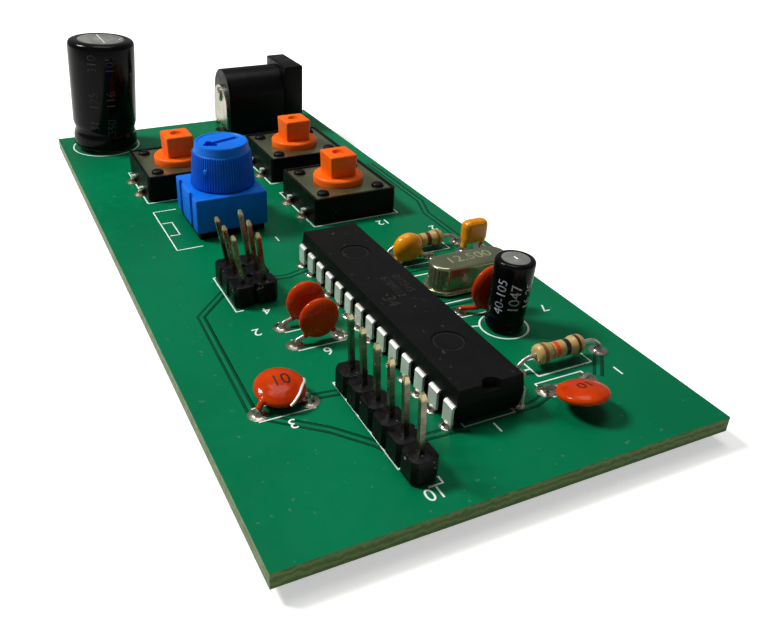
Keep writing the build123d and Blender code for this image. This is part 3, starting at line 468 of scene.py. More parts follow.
# The board's holes by kind of component, in millimetres from its front left corner
PITCH = 2.54
CHIP_AT = (24.2, 25.7)
CHIP_HOLES = [
    (CHIP_AT[0] + dx, CHIP_AT[1] + PITCH * (i - 6.5)) for i in range(14) for dx in (-3.81, 3.81)
]
OUTPUT_HOLES = [(14.85, 10.98 + PITCH * (i - 2.5)) for i in range(6)]
BLOCK_HOLES = [(12.1 + dx, 39.25 + dy) for dx in (-PITCH / 2, PITCH / 2) for dy in (-PITCH, 0, PITCH)]
TRIMMER_HOLES = [(15.35, 55.56), (15.35, 60.64), (12.81, 58.1)]
SWITCH_HOLES = [(x + dx, y + dy) for x, y in SWITCHES for dx in (-6.45, 6.45) for dy in (-2.5, 2.5)]
DISC_PLACES = ((7.99, 17.2), (15.39, 30.1), (15.39, 26.4), (34.34, 9.9), (34.45, 25.5))
DISC_HOLES = [(x + dx, y) for x, y in DISC_PLACES for dx in (-PITCH, PITCH)]
BEAD_HOLES = [(30.91, 38.1), (35.99, 38.1), (40.65, 38.1), (43.35, 38.1)]
RESISTOR_HOLES = [(31.02, 13.45), (41.18, 13.45), (31.12, 40.6), (41.28, 40.6)]
CRYSTAL_HOLES = [(33.86, 30.7), (38.74, 30.7)]
CAN_HOLES = [(4.4, 94.0), (9.4, 94.0), (33.9, 21.2), (35.9, 21.2)]
JACK_Y = 94.75
JACK_HOLES = [(27.26, JACK_Y), (31.66, JACK_Y)]
JACK_SIDE_HOLE = (34.26, 98.9)
WIRE_HOLES = DISC_HOLES + BEAD_HOLES + RESISTOR_HOLES + CRYSTAL_HOLES
PIN_HOLES = CHIP_HOLES + OUTPUT_HOLES + BLOCK_HOLES + TRIMMER_HOLES + SWITCH_HOLES
solder = finish("solder", "C4C0B4", "928C7C", 900.0, 0.18, 0.4, 0.02, metallic=1.0)
brass_solder = finish("switch_solder", "8E8470", "6A5E4A", 900.0, 0.3, 0.5, 0.03, metallic=0.8)


def soldered(name, holes, profile, sides, level=0.0, metal=solder):
    """A round joint with this profile at each hole, its foot at a level above the board's top."""
    joint = turned("joint", profile, sides, 60)
    joints = scatter(name, joint, [spot(x, y, level) for x, y in holes], metal)
    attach(joints, "board")
    return joints


# Joints under the board go from the laminate down to a blunt tip
profile = (
    (0.83, BOARD_UNDERSIDE), (0.84, 1.22), (0.7, 0.95), (0.55, 0.62), (0.46, 0.3), (0.34, 0.08),
    (0.15, 0),
)
holes = PIN_HOLES + WIRE_HOLES + CAN_HOLES + [JACK_SIDE_HOLE]
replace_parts(soldered("solder_joints_round", holes, profile, 14, -BOARD_TOP), "solder_joints")
profile = (
    (1.68, BOARD_UNDERSIDE), (1.69, 1.2), (1.5, 0.9), (1.2, 0.55), (0.95, 0.25), (0.6, 0.06),
    (0.2, 0),
)
soldered("jack_joints", JACK_HOLES, profile, 20, -BOARD_TOP)
# Rings on top of the board rise to a low cone round the lead
profile = ((0.98, -0.02), (0.97, 0.03), (0.8, 0.06), (0.6, 0.09), (0.44, 0.2), (0.34, 0.42), (0.3, 0.6))
soldered("solder_rings", WIRE_HOLES, profile, 18)
profile = ((0.74, -0.02), (0.73, 0.05), (0.56, 0.1), (0.44, 0.26), (0.3, 0.5))
soldered("chip_lead_rings", CHIP_HOLES, profile, 16)
profile = ((1.0, -0.02), (0.98, 0.05), (0.8, 0.1), (0.62, 0.2), (0.5, 0.42), (0.42, 0.62), (0.3, 0.7))
soldered("switch_lead_rings", SWITCH_HOLES, profile, 18, metal=brass_solder)

# ------------------------------------------------------------
# Controller chip: a narrow body of black moulding compound with two rows of bent tinned leads.
# The leads are stamped from one frame, moulded in at the parting line and cut free.
CHIP_TOP = 4.15
RING_LEVEL = 4.07
RING_RADIUS = 1.46
RING_FLATNESS = 0.2
MARKINGS = (("012345", 1.3, 25.7, 27.2), ("6789012", 1.3, 24.3, 27.0), ("34", 2.1, 22.7, 24.4))
compound = finish("chip_compound", "0A0B0A", "0F100F", 350.0, 0.4, 0.55, 0.006, 0.06, specular=0.1)
dress(compound, "chip_body")
tinned = finish("tinned_strip", "FFFFFA", "ECECE2", 500.0, 0.34, 0.5, 0.004, metallic=0.5)
dress(tinned, "chip_leads")
etched = finish("etched_marking", "30312D", "242522", 900.0, 0.6, 0.8, 0.004, specular=0.1)
marks = [
    number(text, size, 0.01, spot(across, along, CHIP_TOP), (0, 0, -math.pi / 2))
    for text, size, across, along in MARKINGS
]
# Faint rings that the mould's two ejector pins leave
for along in (15.65, 35.75):
    circle = [spot(x, y, RING_LEVEL) for x, y in round_outline(CHIP_AT[0], along, RING_RADIUS, 30)]
    ring = bent_rod("ring", [circle], 0.09)
    ring.scale.z = RING_FLATNESS
    ring.location.z = (BOARD_TOP + RING_LEVEL) * (1 - RING_FLATNESS) * MM
    marks.append(settle(ring))
chip_marks = joined("chip_numbers", *marks)
coat(chip_marks, etched)
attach(chip_marks, "board")

# ------------------------------------------------------------
# Pin headers: six pins in a row and a block of two by three, in chamfered black plastic units.
# Each square brass pin has a thin gold flash, is pressed through its unit and has a cut point.
HALF_UNIT = 1.265
UNIT_TOP = 2.54
UNIT_CHAMFER = 0.45
UNIT_ROUNDING = 0.12
OVERLAP = 0.012
POINT_FOOT = 10.6
POINT_TOP = 10.95
header_black = finish("header_moulding", "040405", "0C0C0D", 1400.0, 0.2, 0.5, 0.03, 0.45, specular=0.16)


def rounded(piece, width, segments=3, angle=40.0):
    """Round a piece's sharp edges, the width in millimetres."""
    edges = piece.modifiers.new("rounding", "BEVEL")
    edges.width = width * MM
    edges.segments = segments
    edges.limit_method = "ANGLE"
    edges.angle_limit = math.radians(angle)
    only(piece)
    bpy.ops.object.modifier_apply(modifier="rounding")
    shade_smooth(piece, 35)
    return piece


def carve(piece, tool, operation="DIFFERENCE"):
    """Cut a tool out of a piece, or add it; the tool goes."""
    cut = piece.modifiers.new("carving", "BOOLEAN")
    cut.operation = operation
    cut.solver = "EXACT"
    cut.object = tool
    only(piece)
    bpy.ops.object.modifier_apply(modifier="carving")
    bpy.data.objects.remove(tool)
    return piece


def select_where(piece, kind, wanted):
    """Open a piece with only those of its VERTs, EDGEs or FACEs selected that satisfy a test."""
    only(piece)
    bpy.ops.object.mode_set(mode="EDIT")
    bpy.ops.mesh.select_mode(type=kind)
    bpy.ops.mesh.select_all(action="DESELECT")
    mesh = bmesh.from_edit_mesh(piece.data)
    for part in {"VERT": mesh.verts, "EDGE": mesh.edges, "FACE": mesh.faces}[kind]:
        part.select_set(wanted(part))
    bmesh.update_edit_mesh(piece.data)


def heights(edge):
    """The lower and the upper height of an edge, in millimetres."""
    return sorted(vertex.co.z / MM for vertex in edge.verts)


def is_upright(edge):
    """Whether an edge rises by more than a tenth of a millimetre."""
    return heights(edge)[1] - heights(edge)[0] > 0.1


def block(name, low, high, round_by=0.0):
    """A block between two corners in millimetres from the board's corner, with rounded edges."""
    centre = [(a + b) / 2 for a, b in zip(low, high)]
    deselect()
    bpy.ops.mesh.primitive_cube_add(size=1.0, location=spot(*centre))
    piece = bpy.context.object
    piece.name = name
    piece.scale = [(b - a) * MM for a, b in zip(low, high)]
    settle(piece)
    if round_by:
        rounded(piece, round_by)
    return piece


def bevelled(piece, top, corner, corner_steps, rim, rim_steps):
    """Bevel a block's upright edges, and then the edges round its top, in millimetres."""
    select_where(piece, "EDGE", is_upright)
    bpy.ops.mesh.bevel(offset=corner * MM, segments=corner_steps)
    leave_edit()
    select_where(piece, "EDGE", lambda edge: heights(edge)[0] > BOARD_TOP + top - 0.01)
    bpy.ops.mesh.bevel(offset=rim * MM, segments=rim_steps)
    close_edit()


def header(name, centres):
    """Plastic of a header: an octagonal unit about each pin, all moulded in one."""
    body = None
    for x, y in centres:
        low = (x - HALF_UNIT, y - HALF_UNIT, 0.25)
        unit = block(name, low, (x + HALF_UNIT, y + HALF_UNIT, UNIT_TOP))
        bevelled(unit, UNIT_TOP, UNIT_CHAMFER, 1, UNIT_ROUNDING, 2)
        unit.scale = (1 + OVERLAP, 1 + OVERLAP, 1.0)
        unit.location = spot(x, y, -BOARD_TOP) * -OVERLAP
        settle(unit)
        body = carve(body, unit, "UNION") if body else unit
    shade_smooth(body, 30)
    coat(body, header_black)
    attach(body, "board")
    return body


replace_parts(header("output_header_units", OUTPUT_HOLES), "output_header_base")
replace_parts(header("pin_block_units", BLOCK_HOLES), "pin_block_base")

gold = finish("gold_flash", "8C8A78", "6E6A58", 700.0, 0.16, 0.34, 0.006, metallic=1.0)
tree = gold.node_tree
shader = tree.nodes["Principled BSDF"]
# The pins' points, from POINT_FOOT up to POINT_TOP, are painted a paler gold: a painted highlight where
# light catches the tips
height = add_node(tree, "SeparateXYZ")
tree.links.new(add_node(tree, "TexCoord").outputs["Object"], height.inputs["Vector"])
point = ramp(tree, height.outputs["Z"], POINT_FOOT * MM, POINT_TOP * MM)
flash = shader.inputs["Base Color"].links[0].from_socket
tree.links.new(mix_colours(tree, point, flash, colour("E6D8A8")), shader.inputs["Base Color"])
dress(gold, "output_header_pins", "pin_block_pins")

# ------------------------------------------------------------
# Trimmer: a blue moulded housing with a turning knob, ribbed to be gripped by two fingers.
# A moulded arrow in the knob's top takes a screwdriver and shows where the wiper stands.
TRIMMER_AT = (15.35, 58.1)
HALF_TRIMMER = 4.765
HOUSING_FOOT = 0.95
HOUSING_TOP = 5.55
KNOB_AT = (15.7, 58.1)
KNURLS = 72
KNURL_FOOT = 5.75
KNURL_TOP = 10.05
KNURL_SCALE = 0.942
SLOT_TURN = math.radians(17.7)
blue = finish("blue_moulding", "0478EC", "026CDC", 300.0, 0.36, 0.5, 0.005, 0.1, specular=0.15)
knob_profile = (
    (3.62, 2.77), (3.62, 5.7), (4.05, 5.7), (4.2, 5.78), (4.1, 6.8), (3.98, 8.2), (3.86, 9.4),
    (3.8, 10.02), (3.66, 10.1), (3.6, 10.16), (3.43, 11.16), (3.36, 11.28), (3.28, 11.3),
    (3.12, 11.3), (3.06, 11.24), (3.0, 11.2), (1.5, 11.2),
)
knob = turned("trimmer_knob_grip", knob_profile, 4 * KNURLS, 35)


def between_knurls(vertex):
    """Whether a vertex is on the low side of a rib, two steps low and two high all round."""
    step = round(math.atan2(vertex.co.y, vertex.co.x) * 2 * KNURLS / math.pi)
    return KNURL_FOOT * MM < vertex.co.z < KNURL_TOP * MM and step % 4 < 2


select_where(knob, "VERT", between_knurls)
bpy.ops.transform.resize(value=(KNURL_SCALE, KNURL_SCALE, 1), center_override=(0, 0, 0))
leave_edit()
shade_smooth(knob, 20)
knob.location = spot(*KNOB_AT)
settle(knob)
pivot = spot(*KNOB_AT, 11)


def swing(piece, turn, centre):
    """Turn a piece's mesh about an upright axis."""
    edit_all(piece)
    bpy.ops.transform.rotate(value=turn, orient_axis="Z", center_override=centre)
    leave_edit()


def along_slot(name, low, high, turn, about):
    """A block laid out on the knob's axis and then turned about a place on the slot."""
    x, y = KNOB_AT
    bar = block(name, (x + low[0], y + low[1], 10.15), (x + high[0], y + high[1], 12.5))
    swing(bar, turn, pivot + Vector((about * MM, 0, 0)))
    return bar


arrow = along_slot("arrow", (-2.5, -0.4), (2.5, 0.4), 0.0, 0.0)
for turn in (40, -40):
    carve(arrow, along_slot("barb", (-2.62, -0.34), (-0.9, 0.34), math.radians(turn), -2.3), "UNION")
swing(arrow, -SLOT_TURN, pivot)
carve(knob, arrow)
# A small raised marker on the knob's side, turned about its own middle before it is placed
marker = block("marker", (-0.28, -0.2, -0.34), (0.28, 0.2, 0.34), 0.15)
marker.location = -spot(0, 0)
settle(marker)
marker.rotation_euler.z = math.radians(-49)
marker.location = spot(KNOB_AT[0] - 2.98, KNOB_AT[1] - 2.6, 8.3)
carve(knob, settle(marker), "UNION")
coat(knob, blue)
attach(knob, "knob")
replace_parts(knob, "trimmer_knob")
x, y = TRIMMER_AT
left, right, front, back = x - HALF_TRIMMER, x + HALF_TRIMMER, y - HALF_TRIMMER, y + HALF_TRIMMER
shell = block("trimmer_housing", (left, front, HOUSING_FOOT), (right, back, HOUSING_TOP), 0.22)
for groove in (y - HALF_TRIMMER / 2, y + HALF_TRIMMER / 2):
    carve(shell, block("groove", (x - 6, groove - 0.6, 0), (left + 0.3, groove + 0.6, 6)))
carve(shell, turned("well", ((3.7, 1.9), (3.7, 5.45), (3.9, 5.7)), 64, place=spot(*KNOB_AT)))
shade_smooth(shell, 35)
coat(shell, blue)
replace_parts(shell, "trimmer_body")
# A black block under the blue housing, partly its base and partly a painted shadow beneath the housing
base = block("trimmer_base_and_painted_shadow", (x - 4.4, y - 4.4, 0.02), (x + 4.4, y + 4.4, 1.0), 0.1)
coat(base, compound)
for piece in (shell, base):
    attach(piece, "board")
dress(tinned, "trimmer_wiper", "trimmer_pins")
dress(compound, "trimmer_track")

# ------------------------------------------------------------
# Push-button switches: a black base, a bright steel cover held by four melted plastic posts,
# and an orange button on a snap dome of spring steel that makes the contact and pushes it up.
RIVET_REACH = 4.1
STEM_FOOT = 4.2
STEM_TOP = 7.55
HALF_STEM = 2.0
STEM_TAPER = 0.93
orange = finish("orange_moulding", "FF6E06", "FA6202", 300.0, 0.36, 0.5, 0.006, specular=0.2)
switch_black = finish("switch_moulding", "040404", "080808", 400.0, 0.3, 0.5, 0.006, 0.1, specular=0.12)
cover_steel = finish("switch_cover", "868E68", "6E7656", 160.0, 0.14, 0.26, 0.003, metallic=0.8)
button_profile = (
    (4.1, 1.93), (4.15, 1.98), (4.15, 3.1), (3.49, 3.1), (3.49, 4.14), (3.43, 4.33), (3.3, 4.45),
    (3.12, 4.5),
)
button = turned("button", button_profile, 64, 50, spot(0, 0))
stem = block("stem", (-HALF_STEM, -HALF_STEM, STEM_FOOT), (HALF_STEM, HALF_STEM, STEM_TOP))
select_where(stem, "FACE", lambda face: face.normal.z < -0.5)
bpy.ops.transform.resize(value=(STEM_TAPER, STEM_TAPER, 1), center_override=spot(0, 0, STEM_FOOT))
leave_edit()
rounded(stem, 0.26, 4)
dimple_profile = ((0.55, 7.05), (0.75, 7.12), (0.88, 7.4), (0.98, 7.7))
carve(stem, turned("dimple", dimple_profile, 28, place=spot(0, 0)))
carve(button, stem, "UNION")
carve(button, turned("recess", ((3.72, 1.6), (3.72, 2.1), (2.6, 2.5)), place=spot(0, 0)))
shade_smooth(button, 35)
rivet = turned("rivet", ((0.86, 3.5), (0.85, 3.64), (0.74, 3.84), (0.52, 3.96), (0.2, 4.02)), 18, 70)
for index, (x, y) in enumerate(SWITCHES, 1):
    own = twin(button, f"push_button_{index}")
    own.location = (x * MM, y * MM, 0)
    settle(own, orange)
    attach(own, f"button_{index}")
    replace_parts(own, f"switch_{index}_button")
    corners = ((-1, -1), (1, -1), (1, 1), (-1, 1))
    heads = [spot(x + dx * RIVET_REACH, y + dy * RIVET_REACH) for dx, dy in corners]
    rivets = scatter(f"switch_{index}_rivets", twin(rivet, "head"), heads, switch_black)
    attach(rivets, "board")
    dress(switch_black, f"switch_{index}_base")
    dress(cover_steel, f"switch_{index}_cover")
    dress(tinned, f"switch_{index}_dome", f"switch_{index}_terminals")
bpy.data.objects.remove(button)
bpy.data.objects.remove(rivet)

# ------------------------------------------------------------
# Power inlet jack: a black moulded barrel behind a square mouth, bored for a barrel plug.
# Its plated contacts are stamped strips, and the centre pin is riveted to the one at the rear.
AXIS_Z = 6.25
MOUTH_X = 40.66
FLANGE_X = 37.4
BARREL_END = 38.0
REAR_X = 27.46
PLATE_X = REAR_X - 0.4
BARREL = 4.2
jack_black = finish("jack_moulding", "040404", "080808", 300.0, 0.3, 0.45, 0.004, specular=0.12)
plated = finish("plated_strip", "DAD6C8", "A8A494", 260.0, 0.14, 0.3, 0.02, metallic=0.9)


def laid_turned(name, profile, sides, y, z):
    """A turned piece laid along X, its profile given as radius and x from the board's corner."""
    piece = turned(name, profile, sides)
    piece.rotation_euler.y = math.pi / 2
    piece.location = spot(0, y, z)
    return settle(piece)


housing = block("jack_shell", (FLANGE_X, 90.25, 0), (MOUTH_X, 99.25, 11.0), 0.25)
barrel_profile = ((BARREL - 0.1, REAR_X), (BARREL, REAR_X + 0.1), (BARREL, BARREL_END))
barrel = laid_turned("barrel", barrel_profile, 72, JACK_Y, AXIS_Z)
lower = block("lower", (REAR_X, JACK_Y - BARREL, 0), (BARREL_END, JACK_Y + BARREL, AXIS_Z))
carve(barrel, lower, "UNION")
carve(housing, barrel, "UNION")
bore_profile = ((3.2, MOUTH_X - 10.2), (3.2, MOUTH_X - 0.35), (3.5, MOUTH_X + 0.05), (3.5, 42.0))
carve(housing, laid_turned("bore", bore_profile, 64, JACK_Y, AXIS_Z))
carve(housing, laid_turned("channel", ((1.02, REAR_X - 1.0), (1.02, 31.5)), 24, JACK_Y, AXIS_Z))
carve(housing, block("spring_slot", (31.16, 93.57, -1.0), (36.56, 95.93, 4.5)))
carve(housing, block("side_slot", (33.14, JACK_Y + BARREL - 0.42, -1.0), (35.38, 100.0, 6.02)))
shade_smooth(housing, 35)
coat(housing, jack_black)
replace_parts(housing, "jack_housing")
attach(housing, "board")
plate = laid_turned("jack_plate", ((3.4, PLATE_X), (3.4, REAR_X)), 64, JACK_Y, 4.45)
carve(plate, block("foot", (PLATE_X, JACK_Y - 3.4, 0.9), (REAR_X, JACK_Y + 3.4, 4.45)), "UNION")
carve(plate, block("tail", (PLATE_X, JACK_Y - 1.1, -1.6), (REAR_X, JACK_Y + 1.1, 1.5)), "UNION")
rounded(plate, 0.1, 2)
rivet_profile = ((0.4, REAR_X - 0.9), (0.9, REAR_X - 0.8), (1.2, REAR_X - 0.55), (1.2, PLATE_X))
carve(plate, laid_turned("pin_rivet", rivet_profile, 32, JACK_Y, AXIS_Z), "UNION")
coat(plate, plated)
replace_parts(plate, "jack_rear_plate")
tip = MOUTH_X - 1.0
pin_profile = ((1.0, REAR_X), (1.0, tip - 0.6), (0.95, tip - 0.25), (0.72, tip - 0.05), (0.4, tip))
pin = laid_turned("jack_pin", pin_profile, 32, JACK_Y, AXIS_Z)
coat(pin, plated)
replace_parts(pin, "jack_centre_pin")
for piece in (plate, pin):
    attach(piece, "board")
dress(plated, "jack_spring_contact", "jack_side_contact")

# ------------------------------------------------------------
# Electrolytic capacitors: an aluminium can crimped on a rubber plug, in a shrunk plastic sleeve.
# The bare top is scored so that it opens safely, and grey numbers are printed down the sleeve.
sleeve_black = finish("capacitor_sleeve", "030304", "070709", 200.0, 0.13, 0.2, 0.006, specular=0.13)
aluminium = finish("can_aluminium", "B8BAB2", "9C9E98", 260.0, 0.3, 0.5, 0.006, metallic=0.75)
# The scores are white raised lines: a painted highlight where the can's grooves catch the light
score_glint_paint = finish("painted_score_glint", "FFFFFF", "E8E8E2", 300.0, 0.4, 0.5, 0.002, metallic=0.5)
rubber = finish("rubber", "101010", "181818", 300.0, 0.6, 0.8, 0.01)
grey_ink = finish("grey_ink", "3C4044", "2C3034", 700.0, 0.5, 0.7, 0.003)
pale_ink = finish("pale_ink", "DCE4EE", "AEB6C0", 700.0, 0.5, 0.7, 0.003)
dress(rubber, "large_capacitor_seal", "small_capacitor_seal")
dress(tinned, "large_capacitor_leads", "small_capacitor_leads")


def lean_into_place(piece, corner, lift, lean, *materials):
    """Stand a piece that was made about the axis on the board, leaning by degrees about X and Y."""
    piece.rotation_mode = "ZYX"
    piece.rotation_euler = (math.radians(lean[0]), math.radians(lean[1]), 0)
    piece.location = spot(*corner, lift)
    return settle(piece, *materials)


def cut_finely(label):
    """Divide a flat number's faces, so that it can follow a rounded surface."""
    edit_all(label)
    bpy.ops.mesh.subdivide(number_cuts=3)
    leave_edit()


def press_on(label, target):
    """Lay a finely cut number on a rounded surface."""
    wrap = label.modifiers.new("wrap", "SHRINKWRAP")
    wrap.target = target
    wrap.offset = 0.03 * MM
    only(label)
    bpy.ops.object.modifier_apply(modifier="wrap")


def electrolytic(name, corner, radius, height, lean, scores, printing, ink):
    """Sleeve, scored can top and printing of one electrolytic capacitor."""
    lift = 0.2 + radius * (math.sin(math.radians(lean[0])) + math.sin(math.radians(lean[1])))
    waist = 0.165 * height
    open_top = 0.69 * radius
    sleeve_profile = (
        (0.86 * radius - 0.25, 0.05),
        (radius - 0.3, 0.0),
        (0.97 * radius, 0.08 * waist),
        (0.975 * radius, 0.25 * waist),
        (0.97 * radius, 0.6 * waist),
        (0.94 * radius, 0.82 * waist),
        (0.905 * radius, waist),
        (0.94 * radius, 1.18 * waist),
        (0.975 * radius, 1.42 * waist),
        (radius, height - 0.17 * radius),
        (0.985 * radius, height - 0.1 * radius),
        (0.95 * radius, height - 0.045 * radius),
        (0.88 * radius, height - 0.015 * radius),
        (0.78 * radius, height),
        (0.72 * radius, height - 0.02),
        (open_top, height - 0.07),
    )
    sleeve = turned(f"{name}_shrunk_sleeve", sleeve_profile, 96, 50)
    lean_into_place(sleeve, corner, lift, lean, sleeve_black)
    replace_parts(sleeve, f"{name}_sleeve")
    top = height - 0.03
    cap_profile = (
        (0.84 * radius, 1.5),
        (0.84 * radius, 0.92 * height),
        (open_top + 0.02, top - 0.06),
        (open_top + 0.02, top),
        (0.6 * radius, top + 0.02),
    )
    cap = turned(f"{name}_can_top", cap_profile, 64)
    cuts = []
    for turn, length, bearing, reach in scores:
        deselect()
        bpy.ops.mesh.primitive_cube_add(size=1.0)
        cut = bpy.context.object
        cut.scale = (length * radius * MM, 0.034 * radius * MM, 0.06 * MM)
        bearing = math.radians(bearing)
        centre = (math.cos(bearing) * reach * radius * MM, math.sin(bearing) * reach * radius * MM)
        cut.location = (*centre, (top + 0.03) * MM)
        cut.rotation_euler.z = math.radians(turn)
        cuts.append(settle(cut))
    cuts = joined(f"{name}_can_scores", *cuts)
    rounded(cuts, 0.02, 1)
    lean_into_place(cap, corner, lift, lean, aluminium)
    # The scores get the white painted highlight
    lean_into_place(cuts, corner, lift, lean, score_glint_paint)
    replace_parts(cap, f"{name}_can")
    labels = []
    for text, size, turn, along in printing:
        front = (0, -radius * MM, along * MM)
        label = number(text, size, 0.012, front, (math.pi / 2, -math.pi / 2, 0))
        label.rotation_euler.z = math.radians(turn)
        labels.append(settle(label))
    numbers = joined(f"{name}_numbers", *labels)
    cut_finely(numbers)
    press_on(lean_into_place(numbers, corner, lift, lean, ink), sleeve)
    for piece in (sleeve, cap, cuts, numbers):
        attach(piece, "board")


# Each score has its turn, length, bearing and distance from the middle; each number its text,
# size, turn round the sleeve and height
scores = ((92, 1.1, 0, 0.0), (53, 0.24, -9, 0.6))
left_column = [(text, 1.9, -27, along) for text, along in (("310", 13.9), ("125", 8.2), ("31", 4.2))]
right_column = [(text, 1.9, 3, along) for text, along in (("105", 13.9), ("116", 8.4), ("350", 3.9))]
printing = left_column + right_column
electrolytic("large_capacitor", LARGE_CAN_AT, 5.12, 16.7, (1.0, 3.5), scores, printing, grey_ink)
scores = ((92, 0.3, 0, 0.0),)
printing = (("40-105", 1.45, -62, 4.2), ("1047", 1.7, -20, 4.2), ("16 25", 1.4, 22, 4.4))
electrolytic("small_capacitor", SMALL_CAN_AT, 2.12, 7.95, (1.0, 2.0), scores, printing, pale_ink)

# ------------------------------------------------------------
# Crystal: a flattened can drawn from nickel-plated steel and welded to a flanged base.
# Its numbers are engraved in the flat top, and two wires go down through the base.
CRYSTAL_AT = (36.3, 30.7)
CRYSTAL_TOP = 3.55
nickel = finish("nickel", "9A9E7E", "84886A", 260.0, 0.12, 0.26, 0.004, metallic=0.82)
engraved = finish("engraved_line", "A8A484", "989474", 500.0, 0.4, 0.6, 0.002, metallic=0.5)


def stadium(name, length, width, low, high, round_by, segments):
    """A block with fully rounded ends, its top edges rounded, about the crystal's middle."""
    x, y = CRYSTAL_AT
    body = block(name, (x - length / 2, y - width / 2, low), (x + length / 2, y + width / 2, high))
    bevelled(body, high, width / 2 - 0.02, 14, round_by, segments)
    shade_smooth(body, 40)
    coat(body, nickel)
    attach(body, "board")
    return body


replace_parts(stadium("crystal_drawn_can", 9.95, 3.8, 0.6, CRYSTAL_TOP, 0.42, 5), "crystal_can")
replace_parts(stadium("crystal_flange", 10.79, 4.64, 0.3, 0.7, 0.15, 3), "crystal_base")
dress(tinned, "crystal_leads")
digits = number("12.500", 2.0, 0.012)
digits.scale = (1.1, 1.0, 1.0)
digits.location = spot(*CRYSTAL_AT, CRYSTAL_TOP)
settle(digits, engraved)
digits.name = "crystal_numbers"
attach(digits, "board")

# ------------------------------------------------------------
# Resistors: a ceramic rod with a carbon film and pressed end caps, dipped in tan lacquer.
# Painted bands ring the waist and the caps, and the tinned wires bend down at both ends.
tan = finish("tan_lacquer", "CCAC68", "B89858", 500.0, 0.2, 0.34, 0.006, specular=0.5)
# Each band's name and two colours, and its start and end from the body's middle
BANDS = (
    ("brown", "8A6224", "76521C", -2.3, -1.88),
    ("gold", "94742E", "846424", -1.15, -1.0),
    ("red", "F24A18", "E44012", -0.74, -0.28),
    ("black", "0C0A0A", "120F0E", 0.44, 0.98),
    ("maroon", "5C180A", "4E1207", 1.76, 2.1),
)
# Middle of each body across and along the board, its height, and its left and right hole
RESISTORS = ((35.83, 13.45, 1.6, 31.02, 41.18), (36.02, 40.6, 1.25, 31.12, 41.28))
WIRE_END = -1.6
RESISTOR_PROFILE = (
    (-2.8, 0.55), (-2.76, 0.72), (-2.64, 0.88), (-2.45, 0.98), (-2.3, 1.02), (-1.88, 1.03),
    (-1.55, 0.99), (-1.38, 0.92), (-1.15, 0.86), (-1.0, 0.85), (-0.74, 0.84), (-0.28, 0.84),
    (0.44, 0.84), (0.98, 0.85), (1.2, 0.87), (1.38, 0.92), (1.55, 0.99), (1.76, 1.02),
    (2.1, 1.03), (2.45, 0.98), (2.64, 0.88), (2.76, 0.72), (2.8, 0.55),
)
wire_tin = finish("tinned_wire", "CCCABE", "A09E92", 500.0, 0.24, 0.4, 0.004, metallic=0.9)
band_paints = [
    finish(f"band_{label}", base, shade, 500.0, 0.25, 0.4, 0.004, specular=0.5)
    for label, base, shade, *_ in BANDS
]
# The second resistor has the same places painted, most of them in its own dull gold
second_paints = [band_paints[index] for index in (0, 1, 1, 4, 1)]


def lay_wires(name, stands_for, runs, thickness, kind="NURBS"):
    """The bent wires of a kind of component, as one piece in place of its CAD leads."""
    wires = bent_rod(name, runs, thickness, kind, 3)
    coat(wires, wire_tin)
    shade_smooth(wires, 50)
    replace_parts(wires, stands_for)
    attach(wires, "board")


resistor_runs = []
for index, (x, y, level, left_hole, right_hole) in enumerate(RESISTORS, 1):
    rings = [(radius, x + along) for along, radius in RESISTOR_PROFILE]
    body = laid_turned(f"resistor_{index}_body", rings, 40, y, level)
    coat(body, tan, *(band_paints if index == 1 else second_paints))
    for face in body.data.polygons:
        along = face.center.x / MM + BOARD_WIDTH / 2 - x
        for slot, (*_, start, end) in enumerate(BANDS, 1):
            if start < along < end:
                face.material_index = slot
    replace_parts(body, f"resistor_{index}")
    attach(body, "board")
    for side, hole in ((-1, left_hole), (1, right_hole)):
        route = (
            (hole, WIRE_END),
            (hole, 0.0),
            (hole, level - 0.95),
            (hole - side * 0.3, level - 0.6),
            (hole - side * 0.9, level - 0.15),
            (hole - side * 1.5, level),
            (x + side * 2.6, level),
        )
        resistor_runs.append([spot(along, y, z) for along, z in route])
lay_wires("resistor_wires", "resistor_leads", resistor_runs, 0.46)

# ------------------------------------------------------------
# Ceramic disc capacitors: a thin ceramic disc between two tinned wires, dipped in phenolic resin.
# The dip rounds the rim, runs a little way down the wires and dries with a soft gloss.
dip = finish("orange_dip", "D04002", "B82E01", 300.0, 0.07, 0.14, 0.008, 0.1, specular=0.16)
print_black = finish("black_print", "2A1208", "3A1A0C", 900.0, 0.5, 0.7, 0.003)


def dipped(name, parts, voxel, material):
    """Overlapping parts as one skin with soft joins, as a dipped coating is, for a CAD node."""
    body = joined(f"{name}_dipped", *parts)
    skin = body.modifiers.new("skin", "REMESH")
    skin.mode = "VOXEL"
    skin.voxel_size = voxel * MM
    skin.use_smooth_shade = True
    flow = body.modifiers.new("flow", "SMOOTH")
    flow.factor = 0.5
    flow.iterations = 8
    only(body)
    bpy.ops.object.modifier_apply(modifier="skin")
    bpy.ops.object.modifier_apply(modifier="flow")
    coat(body, material)
    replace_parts(body, name)
    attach(body, "board")
    return body


# Offset of the disc from the middle of its holes, radius, lean in degrees, then for the left and
# the right leg the dipped length and the angle from the lowest place of the rim
DISCS = (
    ((0.2, 1.5, 1.3), 2.5, -80.0, (0.8, 0.0), (62, 52)),
    ((0.3, 0.15, 2.6), 2.25, -6.0, (0.3, 0.3), (42, 42)),
    ((0.15, 0.0, 2.7), 2.25, -3.0, (0.3, 0.3), (42, 42)),
    ((-1.32, -3.45, 1.9), 2.45, 77.0, (0.0, 0.0), (26, 30)),
    ((1.05, -1.0, 2.9), 2.75, -3.0, (1.9, 0.5), (42, 42)),
)
# The size, distance out of the face and turn of the number on the discs that have one
NUMBERED = {1: (2.0, -1.1, 0), 4: (1.7, 1.1, math.pi)}
DIP_WIDTH = 0.66
# Half of the section of a disc: shares of its radius, and depths from its middle
LENS_EDGE = ((0.2, 0.8), (0.5, 0.73), (0.78, 0.52), (0.93, 0.3), (0.985, 0.14))
